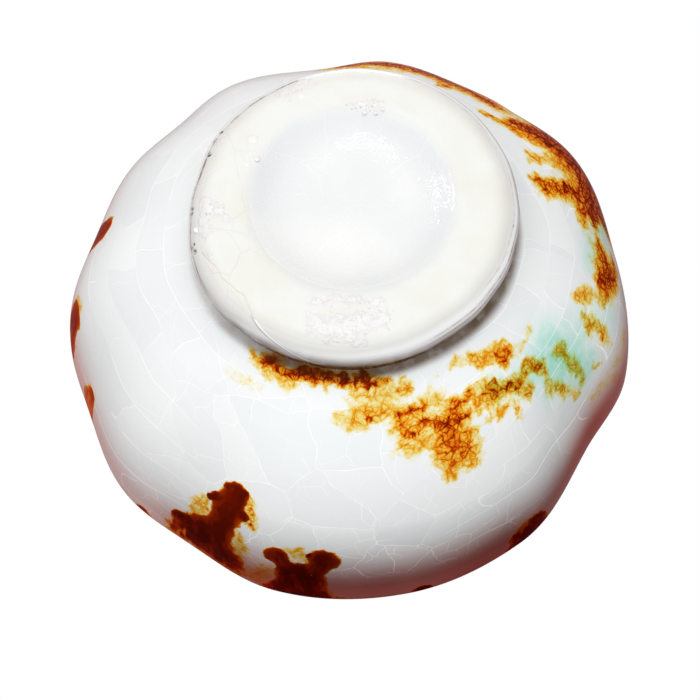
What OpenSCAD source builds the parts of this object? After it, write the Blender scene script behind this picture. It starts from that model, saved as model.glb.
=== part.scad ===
// Guinomi, a small hand-pressed sake cup: a lobed clay bowl luted to a solid foot,
// with a poured glaze inside, a dipped glaze outside and a glazed well under the foot.
// Millimetres, +Z up. The origin is the centre of the face that the cup rests on.

/* [Bowl] */
// Diameter of the glazed wall at the lip, on the mean line of its lobes
cup_diameter = 72; // [66:1:80]
// Height from the resting face to the top of the glazed lip
cup_height = 38; // [35:1:46]
// Thickness of the wall at the lip, glaze included
lip_thickness = 3.4; // [2.8:0.1:4.4]
// Height of the rounding on top of the lip
lip_rise = 1.6; // [1:0.1:2.4]
// Thickness of the clay floor above the foot
floor_thickness = 3.2; // [2.6:0.1:5]

/* [Wall curve] */
// Slope of the wall, from the horizontal, where it leaves the foot
flare_angle = 38; // [32:1:44]
// Reach of the flare before the wall turns upwards
flare_reach = 11.5; // [8:0.5:13]
// Reach of the upright stretch below the lip, outside
upright_reach = 15.5; // [12:0.5:18]
// Reach of the flat floor before the inside turns upwards
floor_reach = 23; // [18:0.5:25]
// Reach of the upright stretch below the lip, inside
inner_upright_reach = 15; // [11:0.5:17]

/* [Lobes] */
// Depth of the deepest finger press in the wall
press_depth = 1.7; // [0.4:0.1:2.2]

/* [Foot] */
// Diameter over the glazed foot
foot_diameter = 40; // [38:0.5:44]
// Height of the clay foot, up to the slip
foot_height = 6.2; // [5.4:0.1:8]
// Radius of the rounded lower edge of the clay foot
foot_edge = 3; // [1.6:0.1:3.4]
// Diameter of the clay neck where foot and bowl are luted
neck_diameter = 35.8; // [33:0.2:37]
// Thickness of the slip that lutes the foot to the bowl
slip_thickness = 0.4; // [0.2:0.1:0.8]
// Diameter of the shallow well under the foot
well_diameter = 25; // [18:0.5:28]
// Depth of the well, down to its glaze
well_depth = 1.3; // [0.6:0.1:2.2]
// How far the well was cut off the axis, towards the back of the cup
well_offset = 1.2; // [0:0.1:1.4]

/* [Glaze] */
// Thickness of the dipped glaze on the outside
outer_glaze_thickness = 0.6; // [0.3:0.1:0.9]
// Thickness of the poured glaze inside
inner_glaze_thickness = 0.6; // [0.3:0.1:0.9]
// Thickness of the glaze on the side of the foot
foot_glaze_thickness = 0.35; // [0.2:0.05:0.6]
// Thickness of the glaze pooled in the well
well_glaze_thickness = 0.5; // [0.3:0.1:0.9]

/* [Hidden] */

// Steps of the curves, counts and not sizes
around_steps = 72;
wall_steps = 13;
floor_steps = 11;
lip_steps = 6;
edge_steps = 12;
well_steps = 10;
$fn = 96;

// Colours, as fired
clay_colour = "#ddd3c0";
slip_colour = "#cbbfa9";
foot_colour = "#f1eee2";
glaze_colour = "#eef1f1";
well_colour = "#eef3f5";

// Radii and levels of the bowl
cup_r = cup_diameter / 2;
inner_r = cup_r - lip_thickness;
clay_r = cup_r - outer_glaze_thickness;
clay_inner_r = inner_r + inner_glaze_thickness;
lip_z = cup_height - lip_rise;
clay_lip_rise = lip_rise - outer_glaze_thickness;
base_z = foot_height + slip_thickness;
clay_floor_z = base_z + floor_thickness;
glaze_floor_z = clay_floor_z + inner_glaze_thickness;

// The glaze pools in the crease above the foot: the coat measured level with the flare
neck_r = neck_diameter / 2;
neck_glaze_r = neck_r + outer_glaze_thickness / sin(flare_angle);

// The clay foot's rounded edge is an arc from the resting face round to its leaning side
foot_clay_r = foot_diameter / 2 - foot_glaze_thickness;
edge_r = foot_clay_r - foot_edge;
edge_start_angle = -90;
edge_end_angle = 30;
glaze_line_angle = -50;

// The well is a dish with a nearly flat middle; its glaze stops short of the resting face
well_r = well_diameter / 2;
clay_well_depth = well_depth + well_glaze_thickness;
cut_overrun = 1;
well_power = 4;
well_glaze_reach_share = 0.97;
well_glaze_lift_share = 0.08;
well_glaze_r = well_r * well_glaze_reach_share;
well_glaze_lift = well_depth * well_glaze_lift_share;

// Finger presses round the wall, as [azimuth in degrees, share of the press depth]:
// crests are above zero and dents below, and the first row comes again at a full turn
lobe_shares = [
    [0, 0.43], [18, -0.2], [32, 0.06], [46, -0.28], [61, 0.26], [82, -0.62], [99, 0.26],
    [116, -0.1], [127, 0.03], [145, 0.77], [167, -0.04], [188, 0.14], [208, -1], [233, 0],
    [259, 0.22], [285, 0.34], [305, -0.26], [323, 0.24], [341, -0.2], [360, 0.43]
];
// The presses begin and reach their full depth at these shares of the wall's height
press_start_share = 0;
press_full_share = 0.6;

// Curves of the section, each a list of [radius, height]
function bezier(p, t) =
    let (s = 1 - t)
    s * s * s * p[0] + 3 * s * s * t * p[1] + 3 * s * t * t * p[2] + t * t * t * p[3];
function stations(curve, steps) = [for (i = [0:steps]) bezier(curve, i / steps)];
function reversed(list) = [for (i = [len(list) - 1:-1:0]) list[i]];
function arc(centre, radius, from, to, steps) = [
    for (i = [0:steps])
        let (angle = from + (to - from) * i / steps)
        centre + radius * [cos(angle), sin(angle)]
];

function wall_curve(start_r, end_r) = [
    [start_r, base_z],
    [start_r + flare_reach * cos(flare_angle), base_z + flare_reach * sin(flare_angle)],
    [end_r, lip_z - upright_reach],
    [end_r, lip_z]
];
function inside_curve(floor_z, end_r) = [
    [0, floor_z],
    [floor_reach, floor_z],
    [end_r, lip_z - inner_upright_reach],
    [end_r, lip_z]
];
// The rounding over the lip, from the outside in, without its two ends
function lip_arc(outside_r, inside_r, rise) = [
    for (i = [1:lip_steps - 1])
        let (angle = 180 * i / lip_steps)
        [
            (outside_r + inside_r) / 2 + (outside_r - inside_r) / 2 * cos(angle),
            lip_z + rise * sin(angle)
        ]
];
function well_z(r, rim_r, depth) = depth * (1 - pow(r / rim_r, well_power));

clay_wall = stations(wall_curve(neck_r, clay_r), wall_steps);
clay_inside = stations(inside_curve(clay_floor_z, clay_inner_r), floor_steps);
clay_lip = lip_arc(clay_r, clay_inner_r, clay_lip_rise);
glaze_wall = stations(wall_curve(neck_glaze_r, cup_r), wall_steps);
glaze_inside = stations(inside_curve(glaze_floor_z, inner_r), floor_steps);
glaze_lip = lip_arc(cup_r, inner_r, lip_rise);

// The side of the clay foot from the angle given up to the neck
function foot_side(from) = concat(
    arc([edge_r, foot_edge], foot_edge, from, edge_end_angle, edge_steps),
    [[neck_r, foot_height]]
);

// Pressed lobes: a crest or dent at every azimuth, growing from the foot up the wall
function lobe_share(azimuth, i = 0) =
    azimuth > lobe_shares[i + 1][0]
        ? lobe_share(azimuth, i + 1)
        : let (
            near = lobe_shares[i],
            far = lobe_shares[i + 1],
            along = (azimuth - near[0]) / (far[0] - near[0])
        )
        near[1] + (far[1] - near[1]) * (1 - cos(180 * along)) / 2;
function ease(x) = let (t = min(max(x, 0), 1)) t * t * (3 - 2 * t);
function press_growth(z) =
    let (height_share = (z - base_z) / (lip_z - base_z))
    ease((height_share - press_start_share) / (press_full_share - press_start_share));

azimuths = [for (j = [0:around_steps - 1]) 360 * j / around_steps];
presses = [for (a = azimuths) press_depth * lobe_share(a)];
function ring(p) = [
    for (j = [0:around_steps - 1])
        let (r = p[0] + presses[j] * press_growth(p[1]))
        [r * cos(azimuths[j]), r * sin(azimuths[j]), p[1]]
];

// Two triangles between ring k and the next, at step j round the cup
function band(k, next, j) =
    let (
        low = k * around_steps,
        high = next * around_steps,
        beside = (j + 1) % around_steps
    )
    [
        [low + j, high + j, high + beside],
        [low + j, high + beside, low + beside]
    ];

// A solid whose section is a closed loop clear of the axis
module pressed_loop(section) {
    last = len(section) - 1;
    polyhedron(
        points = [for (p = section) each ring(p)],
        faces = [
            for (k = [0:last]) for (j = [0:around_steps - 1])
                each band(k, k < last ? k + 1 : 0, j)
        ]
    );
}

// A solid whose section starts and ends on the axis
module pressed_bowl(section) {
    last = len(section) - 1;
    rings = [for (k = [1:last - 1]) section[k]];
    top = len(rings) - 1;
    start_pole = len(rings) * around_steps;
    end_pole = start_pole + 1;
    polyhedron(
        points = concat(
            [for (p = rings) each ring(p)],
            [[0, 0, section[0][1]], [0, 0, section[last][1]]]
        ),
        faces = [
            for (j = [0:around_steps - 1])
                [start_pole, j, (j + 1) % around_steps],
            for (k = [0:top - 1]) for (j = [0:around_steps - 1])
                each band(k, k + 1, j),
            for (j = [0:around_steps - 1])
                [top * around_steps + j, end_pole, top * around_steps + (j + 1) % around_steps]
        ]
    );
}

// The thrown and pressed clay, from its flat base up the wall, over the lip and down inside
module clay_bowl() {
    color(clay_colour)
        pressed_bowl(concat([[0, base_z]], clay_wall, clay_lip, reversed(clay_inside)));
}

// The slip between the scored faces of foot and bowl
module luting_slip() {
    color(slip_colour)
        translate([0, 0, foot_height])
            cylinder(h = slip_thickness, r = neck_r);
}

// The solid clay foot: a flat resting ring round a shallow well, with a full rounded edge
module foot() {
    well_cut = [
        for (i = [0:well_steps])
            let (r = well_r * i / well_steps)
            [r, well_z(r, well_r, clay_well_depth)]
    ];
    color(foot_colour)
        difference() {
            rotate_extrude()
                polygon(concat([[0, 0]], foot_side(edge_start_angle), [[0, foot_height]]));
            translate([0, well_offset, 0])
                rotate_extrude()
                    polygon(concat(well_cut, [[well_r, -cut_overrun], [0, -cut_overrun]]));
        }
}

// The dipped coat: up the wall, over the lip and as far as the coat inside
module outer_glaze() {
    color(glaze_colour)
        pressed_loop(concat(
            glaze_wall, glaze_lip, [[inner_r, lip_z], [clay_inner_r, lip_z]],
            reversed(clay_lip), reversed(clay_wall)
        ));
}

// The poured coat inside the bowl, up to the lip
module inner_glaze() {
    color(glaze_colour)
        pressed_bowl(concat(clay_inside, reversed(glaze_inside)));
}

// The coat on the side of the foot, from the glaze line up to its pool in the crease
module foot_glaze() {
    coat_edge = foot_edge + foot_glaze_thickness;
    coat = arc([edge_r, foot_edge], coat_edge, glaze_line_angle, edge_end_angle, edge_steps);
    color(glaze_colour)
        rotate_extrude()
            polygon(concat(
                coat, [[neck_glaze_r, base_z], [neck_r, base_z]],
                reversed(foot_side(glaze_line_angle))
            ));
}

// The glaze pooled in the well
module well_glaze() {
    steps_out = [for (i = [0:well_steps]) well_glaze_r * i / well_steps];
    clay_side = [for (r = steps_out) [r, well_z(r, well_r, clay_well_depth)]];
    open_side = [
        for (r = steps_out)
            [r, well_glaze_lift + well_z(r, well_glaze_r, well_depth - well_glaze_lift)]
    ];
    color(well_colour)
        translate([0, well_offset, 0])
            rotate_extrude()
                polygon(concat(open_side, reversed(clay_side)));
}

clay_bowl();
luting_slip();
foot();
outer_glaze();
inner_glaze();
foot_glaze();
well_glaze();
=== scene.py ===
import math
import random

import bmesh
import bpy
import numpy as np
from mathutils import Matrix, Vector, noise


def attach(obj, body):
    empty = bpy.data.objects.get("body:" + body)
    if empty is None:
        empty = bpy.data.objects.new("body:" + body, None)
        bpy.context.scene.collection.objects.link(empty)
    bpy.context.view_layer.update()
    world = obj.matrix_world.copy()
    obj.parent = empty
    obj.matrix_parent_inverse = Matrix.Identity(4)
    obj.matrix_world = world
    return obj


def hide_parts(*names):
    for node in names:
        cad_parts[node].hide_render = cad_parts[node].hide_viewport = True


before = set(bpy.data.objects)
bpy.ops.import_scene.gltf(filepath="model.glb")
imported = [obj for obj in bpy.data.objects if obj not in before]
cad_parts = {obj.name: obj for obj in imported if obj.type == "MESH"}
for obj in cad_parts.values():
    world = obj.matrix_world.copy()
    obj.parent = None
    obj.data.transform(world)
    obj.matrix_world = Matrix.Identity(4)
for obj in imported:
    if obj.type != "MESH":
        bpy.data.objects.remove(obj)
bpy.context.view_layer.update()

mm = 0.001


# the cup's section in millimetres, the same values as the solids
cup = {
    "lipRadius": 36.0, "innerRadius": 32.6, "lipHeight": 36.4, "lipRise": 1.6,
    "clayRadius": 35.4, "clayInnerRadius": 33.2, "clayLipRise": 1.0,
    "baseHeight": 6.6, "neckRadius": 17.9, "glazeNeckRadius": 18.875,
    "flareAngle": 38.0, "flareReach": 11.5, "uprightReach": 15.5,
    "clayFloor": 9.8, "glazeFloor": 10.4, "floorReach": 23.0, "innerUpright": 15.0,
    "pressDepth": 1.7, "pressFullShare": 0.6,
    # finger presses round the wall: azimuth, share of the depth
    "presses": [
        (0, 0.43), (18, -0.2), (32, 0.06), (46, -0.28), (61, 0.26), (82, -0.62), (99, 0.26),
        (116, -0.1), (127, 0.03), (145, 0.77), (167, -0.04), (188, 0.14), (208, -1), (233, 0),
        (259, 0.22), (285, 0.34), (305, -0.26), (323, 0.24), (341, -0.2), (360, 0.43),
    ],
    # the foot was trimmed by hand: azimuth, millimetres off round
    "trimming": [
        (0, -0.3), (15, -0.4), (35, 0.1), (55, 0.17), (75, 0.48), (95, 0.78), (115, 0.92),
        (135, 0.83), (155, 0.67), (175, 0.38), (195, 0), (215, -0.41), (235, -0.76), (255, -0.79),
        (275, -0.71), (295, -0.56), (310, -0.35), (325, 0.04), (342, 0.02), (360, -0.3),
    ],
    "trimRadius": 20.0, "trimFade": 4.0,
    # the well lies off centre, and the hand-wiped face round it isn't quite flat
    "wellShift": 1.2, "shiftFrom": 12.8, "shiftFade": 4.0, "underTop": 2.0, "underFade": 2.0,
    "underFull": 0.99,
    "wipedFrom": 11.5, "wipedTo": 18.5, "wipedPitch": 0.35, "wipedLevel": 3.0, "wipedHeight": 0.035,
    "axisGap": 0.01, "tableSteps": 200,
}


def easeShare(x):
    t = np.clip(x, 0.0, 1.0)
    return t * t * (3.0 - 2.0 * t)


# a value round the cup, eased from one row of azimuth and value to the next
def aroundCup(azimuth, rows):
    a = np.mod(azimuth, 360.0)
    stops, values = np.array(rows, dtype=float).T
    low = np.clip(np.searchsorted(stops, a, side="right") - 1, 0, len(rows) - 2)
    along = (a - stops[low]) / (stops[low + 1] - stops[low])
    return values[low] + (values[low + 1] - values[low]) * (1 - np.cos(np.pi * along)) / 2


def pressMove(azimuth, height):
    share = (height - cup["baseHeight"]) / (cup["lipHeight"] - cup["baseHeight"])
    grown = easeShare(share / cup["pressFullShare"])
    return cup["pressDepth"] * aroundCup(azimuth, cup["presses"]) * grown


def trimMove(azimuth, radius, height):
    share = np.minimum(radius / cup["trimRadius"], 1.0) ** 2
    fade = 1.0 - easeShare((height - cup["baseHeight"]) / cup["trimFade"])
    return aroundCup(azimuth, cup["trimming"]) * share * fade


def bezierPoints(p, steps):
    points = []
    for i in range(steps + 1):
        t = i / steps
        s = 1 - t
        weights = (s * s * s, 3 * s * s * t, 3 * s * t * t, t * t * t)
        points.append(tuple(sum(w * q[k] for w, q in zip(weights, p)) for k in (0, 1)))
    return points


def wallLine(startRadius, endRadius, steps):
    a = math.radians(cup["flareAngle"])
    start = (startRadius, cup["baseHeight"])
    flare = (start[0] + cup["flareReach"] * math.cos(a), start[1] + cup["flareReach"] * math.sin(a))
    upright = (endRadius, cup["lipHeight"] - cup["uprightReach"])
    return bezierPoints((start, flare, upright, (endRadius, cup["lipHeight"])), steps)


def insideLine(floor, endRadius, steps):
    upright = (endRadius, cup["lipHeight"] - cup["innerUpright"])
    end = (endRadius, cup["lipHeight"])
    return bezierPoints(((0, floor), (cup["floorReach"], floor), upright, end), steps)


def lipLine(outside, inside, rise, steps):
    angles = [math.pi * i / steps for i in range(1, steps)]
    middle, half = (outside + inside) / 2, (outside - inside) / 2
    return [(middle + half * math.cos(a), cup["lipHeight"] + rise * math.sin(a)) for a in angles]


def newPiece(name, bm):
    for face in bm.faces:
        face.smooth = True
    mesh = bpy.data.meshes.new(name)
    bm.to_mesh(mesh)
    bm.free()
    piece = bpy.data.objects.new(name, mesh)
    bpy.context.collection.objects.link(piece)
    print("made", name, len(mesh.polygons), "faces")
    return piece


def pointsOf(piece):
    points = np.empty(len(piece.data.vertices) * 3)
    piece.data.vertices.foreach_get("co", points)
    return points.reshape(-1, 3) / mm


# one sector is spun, then doubled until it closes: the gap is in metres, the angle in degrees
turning = {"doublings": 5, "weldGap": 1e-7, "sharpAngle": 45.0}


# turns a section about the axis, then moves its points with the shaping function
def turnSection(name, section, closed, sectorSteps, shaping):
    bm = bmesh.new()
    chain = [bm.verts.new((r * mm, 0, z * mm)) for r, z in section]
    ends = chain[1:] + chain[:1] if closed else chain[1:]
    edges = [bm.edges.new(pair) for pair in zip(chain, ends)]
    angle = math.tau / 2 ** turning["doublings"]
    bmesh.ops.spin(bm, geom=chain + edges, cent=(0, 0, 0), axis=(0, 0, 1), angle=angle, steps=sectorSteps)
    for _ in range(turning["doublings"]):
        copied = bmesh.ops.duplicate(bm, geom=bm.verts[:] + bm.edges[:] + bm.faces[:])["geom"]
        bmesh.ops.rotate(bm, cent=(0, 0, 0), matrix=Matrix.Rotation(angle, 3, "Z"),
                         verts=[part for part in copied if isinstance(part, bmesh.types.BMVert)])
        angle *= 2
    bmesh.ops.remove_doubles(bm, verts=bm.verts, dist=turning["weldGap"])
    bmesh.ops.recalc_face_normals(bm, faces=bm.faces)
    piece = newPiece(name, bm)
    piece.data.vertices.foreach_set("co", (shaping(pointsOf(piece)) * mm).ravel())
    piece.data.update()
    piece.data.set_sharp_from_angle(angle=math.radians(turning["sharpAngle"]))
    return piece


def polar(points):
    return np.degrees(np.arctan2(points[:, 1], points[:, 0])), np.hypot(points[:, 0], points[:, 1])


# points on the axis stay where they are
def moveOut(points, move):
    radius = polar(points)[1]
    share = (radius + np.where(radius < cup["axisGap"], 0.0, move)) / np.maximum(radius, 1e-6)
    return np.column_stack((points[:, 0] * share, points[:, 1] * share, points[:, 2]))


def shapeWall(points):
    azimuth, radius = polar(points)
    return moveOut(points, pressMove(azimuth, points[:, 2]) + trimMove(azimuth, radius, points[:, 2]))


def shapeInside(points):
    return moveOut(points, pressMove(polar(points)[0], points[:, 2]))


def shapeFoot(points):
    azimuth, radius = polar(points)
    moved = moveOut(points, trimMove(azimuth, radius, points[:, 2]))
    under = 1.0 - easeShare((points[:, 2] - cup["underTop"]) / cup["underFade"])
    inWell = 1.0 - easeShare((radius - cup["shiftFrom"]) / cup["shiftFade"])
    moved[:, 1] += cup["wellShift"] * inWell * under
    spared = (under > cup["underFull"]) & (radius > cup["wipedFrom"]) & (radius < cup["wipedTo"])
    for i in np.nonzero(spared)[0]:
        spot = Vector((moved[i, 0] * cup["wipedPitch"], moved[i, 1] * cup["wipedPitch"], cup["wipedLevel"]))
        moved[i, 2] += cup["wipedHeight"] * (1.0 + noise.noise(spot))
    return moved


# places on the wall and inside, for the glaze runs
wallTable = np.array(wallLine(cup["glazeNeckRadius"], cup["lipRadius"], cup["tableSteps"]))
insideTable = np.array(insideLine(cup["glazeFloor"], cup["innerRadius"], cup["tableSteps"]))
lipMiddle = (cup["lipRadius"] + cup["innerRadius"]) / 2
lipTop = cup["lipHeight"] + cup["lipRise"]


def cupPoint(azimuth, radius, height):
    a = math.radians(azimuth)
    r = radius + float(pressMove(np.array(azimuth), np.array(height)))
    return np.array((r * math.cos(a), r * math.sin(a), height))


def onWall(azimuth, height):
    radius = np.interp(height, wallTable[:, 1], wallTable[:, 0])
    if height > cup["lipHeight"]:
        share = min((height - cup["lipHeight"]) / cup["lipRise"], 1.0)
        radius = lipMiddle + (cup["lipRadius"] - lipMiddle) * math.sqrt(1.0 - share * share)
    return cupPoint(azimuth, radius, height)


def onInside(azimuth, height):
    if height > cup["lipHeight"]:
        return onWall(azimuth, lipTop)
    return cupPoint(azimuth, np.interp(height, insideTable[:, 1], insideTable[:, 0]), height)


def onRing(x, y):
    return np.array((x, y, 0.0))


# distance from each point to a stroke, in half widths of the stroke
def strokeGap(points, stroke, place):
    nearest = np.full(len(points), 1e6)
    spots = [(place(a, z), w) for a, z, w in stroke]
    for (start, startWidth), (end, endWidth) in zip(spots, spots[1:] or spots):
        line = end - start
        along = np.clip((points - start) @ line / max(line @ line, 1e-9), 0.0, 1.0)
        gap = np.linalg.norm(points - start - along[:, None] * line, axis=1)
        nearest = np.minimum(nearest, gap / (startWidth + (endWidth - startWidth) * along))
    return nearest


# runs: 1 on a stroke's line, 0.5 at its edge, 0 at twice that
def pourRuns(points, strokes, place):
    value = np.zeros(len(points))
    for strength, stroke in strokes:
        value = np.maximum(value, strength * np.clip(1.0 - 0.5 * strokeGap(points, stroke, place), 0.0, 1.0))
    return value


# how brushed iron and copper spread: washes flow into each other, and waves make their edges ragged
brush = {
    "flow": 2.5, "seed": 5,
    # pitch, reach
    "waves": [(4.3, 0.2), (2.6, 0.2), (1.6, 0.18), (1.0, 0.14), (0.65, 0.1)],
}


def spreadWash(points, strokes, place):
    total = np.zeros(len(points))
    for strength, stroke in strokes:
        total += (strength * np.exp(-0.5 * strokeGap(points, stroke, place) ** 2)) ** brush["flow"]
    return total ** (1.0 / brush["flow"])


def raggedPoints(points, longest=math.inf):
    draw = np.random.default_rng(brush["seed"])
    moved = points.copy()
    for pitch, reach in brush["waves"]:
        axes = draw.normal(size=(3, 3))
        axes /= np.linalg.norm(axes, axis=0)
        phase = draw.uniform(0, math.tau, 3)
        if pitch <= longest:
            moved = moved + reach * np.sin(moved @ axes * (math.tau / pitch) + phase)
    return moved


def keepValues(piece, name, values):
    layer = piece.data.attributes.new(name, "FLOAT", "POINT")
    layer.data.foreach_set("value", np.ascontiguousarray(values, dtype=np.float32))


def paintCoat(piece, coat, place):
    points = pointsOf(piece)
    pushed = raggedPoints(points)
    bumpy = points + (raggedPoints(points, coat["runRagged"]) - points) * coat["runRaggedShare"]
    keepValues(piece, "ironRun", pourRuns(bumpy, coat["runs"], place))
    azimuth = polar(points)[0]
    high = easeShare((points[:, 2] - coat["fadeFrom"]) / coat["fadeOver"])
    faded = aroundCup(azimuth, coat["runFade"]) * high
    keepValues(piece, "runTone", aroundCup(azimuth, coat["runTone"]) * (1.0 - faded))
    keepValues(piece, "ironLace", spreadWash(pushed, coat["lace"], place))
    keepValues(piece, "copperWash", spreadWash(pushed, coat["copper"], place))
    keepValues(piece, "ringShare", aroundCup(azimuth, coat["ringShare"]))
    return points, azimuth


# the coat laid flat, so that cracks have no seam; scale is how far it stretches there
def keepFlatMap(piece, points, scale):
    flat = points * (1, 1, 0) * scale[:, None] * mm
    layer = piece.data.attributes.new("flatMap", "FLOAT_VECTOR", "POINT")
    layer.data.foreach_set("vector", flat.astype(np.float32).ravel())
    keepValues(piece, "flatScale", scale)


def stepLengths(line):
    radius, height = np.array(line).T
    return radius, height, np.hypot(np.diff(radius), np.diff(height))


# how far up the coat each point lies, for the cracks that follow the rim
def keepCoatLength(piece, line, points):
    height, length = stepLengths(line)[1:]
    upTo = np.concatenate(([0.0], np.cumsum(length)))
    keepValues(piece, "coatLength", np.interp(points[:, 2], height, upTo) * mm)


# a bench for one node tree: each call places a node, sets it and wires its inputs
class nodeBench:
    def __init__(self, tree):
        self.tree = tree
        tree.nodes.clear()

    def put(self, kind, wires=None, **settings):
        node = self.tree.nodes.new("ShaderNode" + kind)
        for key, value in settings.items():
            setattr(node, key, value)
        for key, value in (wires or {}).items():
            if isinstance(value, bpy.types.NodeSocket):
                self.tree.links.new(value, node.inputs[key])
            else:
                node.inputs[key].default_value = value
        return node.outputs

    def maths(self, operation, a, b=0.0, c=0.0, clamp=False):
        return self.put("Math", {0: a, 1: b, 2: c}, operation=operation, use_clamp=clamp)[0]

    def times(self, a, *others):
        for b in others:
            a = self.maths("MULTIPLY", a, b)
        return a

    def plus(self, a, *others):
        for b in others:
            a = self.maths("ADD", a, b)
        return a

    def minus(self, a, b):
        return self.maths("SUBTRACT", a, b)

    def over(self, a, b):
        return self.maths("DIVIDE", a, b)

    def larger(self, a, b):
        return self.maths("MAXIMUM", a, b)

    def scaled(self, a, by, add):
        return self.maths("MULTIPLY_ADD", a, by, add)

    def rest(self, a, clamp=False):
        return self.maths("SUBTRACT", 1.0, a, clamp=clamp)

    def size(self, a):
        return self.maths("ABSOLUTE", a)

    def ramp(self, value, low, high, start=0.0, end=1.0, smooth=True):
        wires = {"Value": value, "From Min": low, "From Max": high, "To Min": start, "To Max": end}
        return self.put("MapRange", wires, interpolation_type="SMOOTHSTEP" if smooth else "LINEAR")["Result"]

    # a line of the given half width, solid as far as core
    def line(self, gap, half, core=0.3, rim=1.0, share=1.0):
        return self.ramp(self.over(gap, half), core, rim, share, 0.0)

    def vectors(self, operation, a, b=(0, 0, 0)):
        out = self.put("VectorMath", {0: a, 1: b}, operation=operation)
        return out["Value" if operation in ("DOT_PRODUCT", "LENGTH", "DISTANCE") else "Vector"]

    def stretch(self, a, by):
        return self.put("VectorMath", {0: a, "Scale": by}, operation="SCALE")[0]

    def grain(self, vector, scale, detail=2.0, rough=0.5, warp=0.0):
        return self.put("TexNoise", {"Vector": vector, "Scale": scale, "Detail": detail,
                                     "Roughness": rough, "Distortion": warp})[0]

    # grain cut into patches
    def patch(self, vector, scale, low, high, start=0.0, end=1.0, **texture):
        return self.ramp(self.grain(vector, scale, **texture), low, high, start, end)

    def wander(self, vector, scale, detail, reach):
        drift = self.put("TexNoise", {"Vector": vector, "Scale": scale, "Detail": detail})["Color"]
        centred = self.vectors("SUBTRACT", drift, (0.5, 0.5, 0.5))
        return self.vectors("ADD", vector, self.stretch(centred, reach))

    def cells(self, place, scale, dimensions="3D", jumble=1.0, feature="F1"):
        wires = {"W" if dimensions == "1D" else "Vector": place, "Scale": scale, "Randomness": jumble}
        return self.put("TexVoronoi", wires, voronoi_dimensions=dimensions, feature=feature)

    def cellEdges(self, place, scale, dimensions="3D", jumble=1.0):
        return self.cells(place, scale, dimensions, jumble, "DISTANCE_TO_EDGE")["Distance"]

    def mix(self, share, a, b, blend="MIX"):
        return self.put("Mix", {0: share, 6: a, 7: b}, data_type="RGBA", blend_type=blend)[2]

    def split(self, colour):
        return self.put("SeparateColor", {0: colour})

    def join(self, parts):
        return self.put("CombineColor", dict(enumerate(parts)))[0]

    def attribute(self, name, output="Fac"):
        return self.put("Attribute", attribute_name=name)[output]

    def space(self):
        return self.put("TexCoord")["Object"]

    def axes(self, vector):
        return self.put("SeparateXYZ", {0: vector})

    def use(self, group, **wires):
        return self.put("Group", wires, node_tree=group)

    # ends a group
    def give(self, **values):
        out = self.tree.nodes.new("NodeGroupOutput")
        for key, value in values.items():
            self.tree.links.new(value, out.inputs[key])
        return self.tree

    # ends a material
    def finish(self, colour, rough, height, relief, gloss=0.5):
        bump = self.put("Bump", {"Height": height, "Distance": relief, "Strength": 1.0})[0]
        surface = self.put("BsdfPrincipled", {"Base Color": colour, "Roughness": rough, "Normal": bump,
                                              "IOR": 1.5, "Specular IOR Level": gloss})
        self.put("OutputMaterial", {"Surface": surface[0]})


def newMaterial(name):
    material = bpy.data.materials.new(name)
    material.use_nodes = True
    return material, nodeBench(material.node_tree)


def newGroup(name, inputs, outputs):
    tree = bpy.data.node_groups.new(name, "ShaderNodeTree")
    for way, sockets in (("INPUT", inputs), ("OUTPUT", outputs)):
        for label, kind in sockets.items():
            tree.interface.new_socket(label, in_out=way, socket_type="NodeSocket" + kind)
    n = nodeBench(tree)
    return n, tree.nodes.new("NodeGroupInput").outputs


# crackle: long cracks first, then short ones that end on them
crackle = {
    "driftScale": 110.0, "driftDetail": 2.0, "turn": 0.6, "squeeze": 0.72, "jumble": 0.9,
    "finer": 1.9, "shortWidth": 0.75,
    "shortShown": dict(scale=95.0, detail=1.0, low=0.43, high=0.56),
    "faint": dict(scale=130.0, detail=3.0, rough=0.6, low=0.34, high=0.6, start=0.45),
}


def makeCrackleGroup():
    c = crackle
    n, take = newGroup("glazeCrackle",
                       {"Vector": "Vector", "Cells": "Float", "Width": "Float", "Bend": "Float"},
                       {"Lines": "Float", "Tone": "Float"})
    bent = n.wander(take["Vector"], c["driftScale"], c["driftDetail"], take["Bend"])
    turned = {"Vector": bent, "Rotation": (0, 0, c["turn"]), "Scale": (1, c["squeeze"], 1)}
    drawn = n.put("Mapping", turned)[0]
    longEdge = n.cellEdges(drawn, take["Cells"], "2D", c["jumble"])
    cell = n.cells(drawn, take["Cells"], "2D", c["jumble"])["Color"]
    finer = n.times(take["Cells"], c["finer"])
    shortEdge = n.cellEdges(n.vectors("ADD", drawn, cell), finer, "2D")
    longLine = n.line(longEdge, n.times(take["Cells"], take["Width"]))
    shortLine = n.line(shortEdge, n.times(finer, n.times(take["Width"], c["shortWidth"])))
    shown = n.times(shortLine, n.patch(take["Vector"], **c["shortShown"]))
    lines = n.times(n.larger(longLine, shown), n.patch(take["Vector"], **c["faint"]))
    return n.give(Lines=lines, Tone=n.split(cell)[0])


# iron and copper in the glaze, as light taken out of it
stain = {
    # depth of iron, light that it lets through
    "iron": [
        (0, (1, 1, 1)), (0.3, (0.97, 0.8, 0.33)), (0.7, (0.94, 0.58, 0.08)), (1.2, (0.88, 0.39, 0.0145)),
        (1.9, (0.88, 0.24, 0.0055)), (2.8, (0.6, 0.06, 0.001)), (3.8, (0.34, 0.024, 0.0008)),
        (5.5, (0.15, 0.007, 0.0005)), (8, (0.06, 0.003, 0.0008)),
    ],
    "copper": (0.52, 0.89, 0.76),
}


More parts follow.
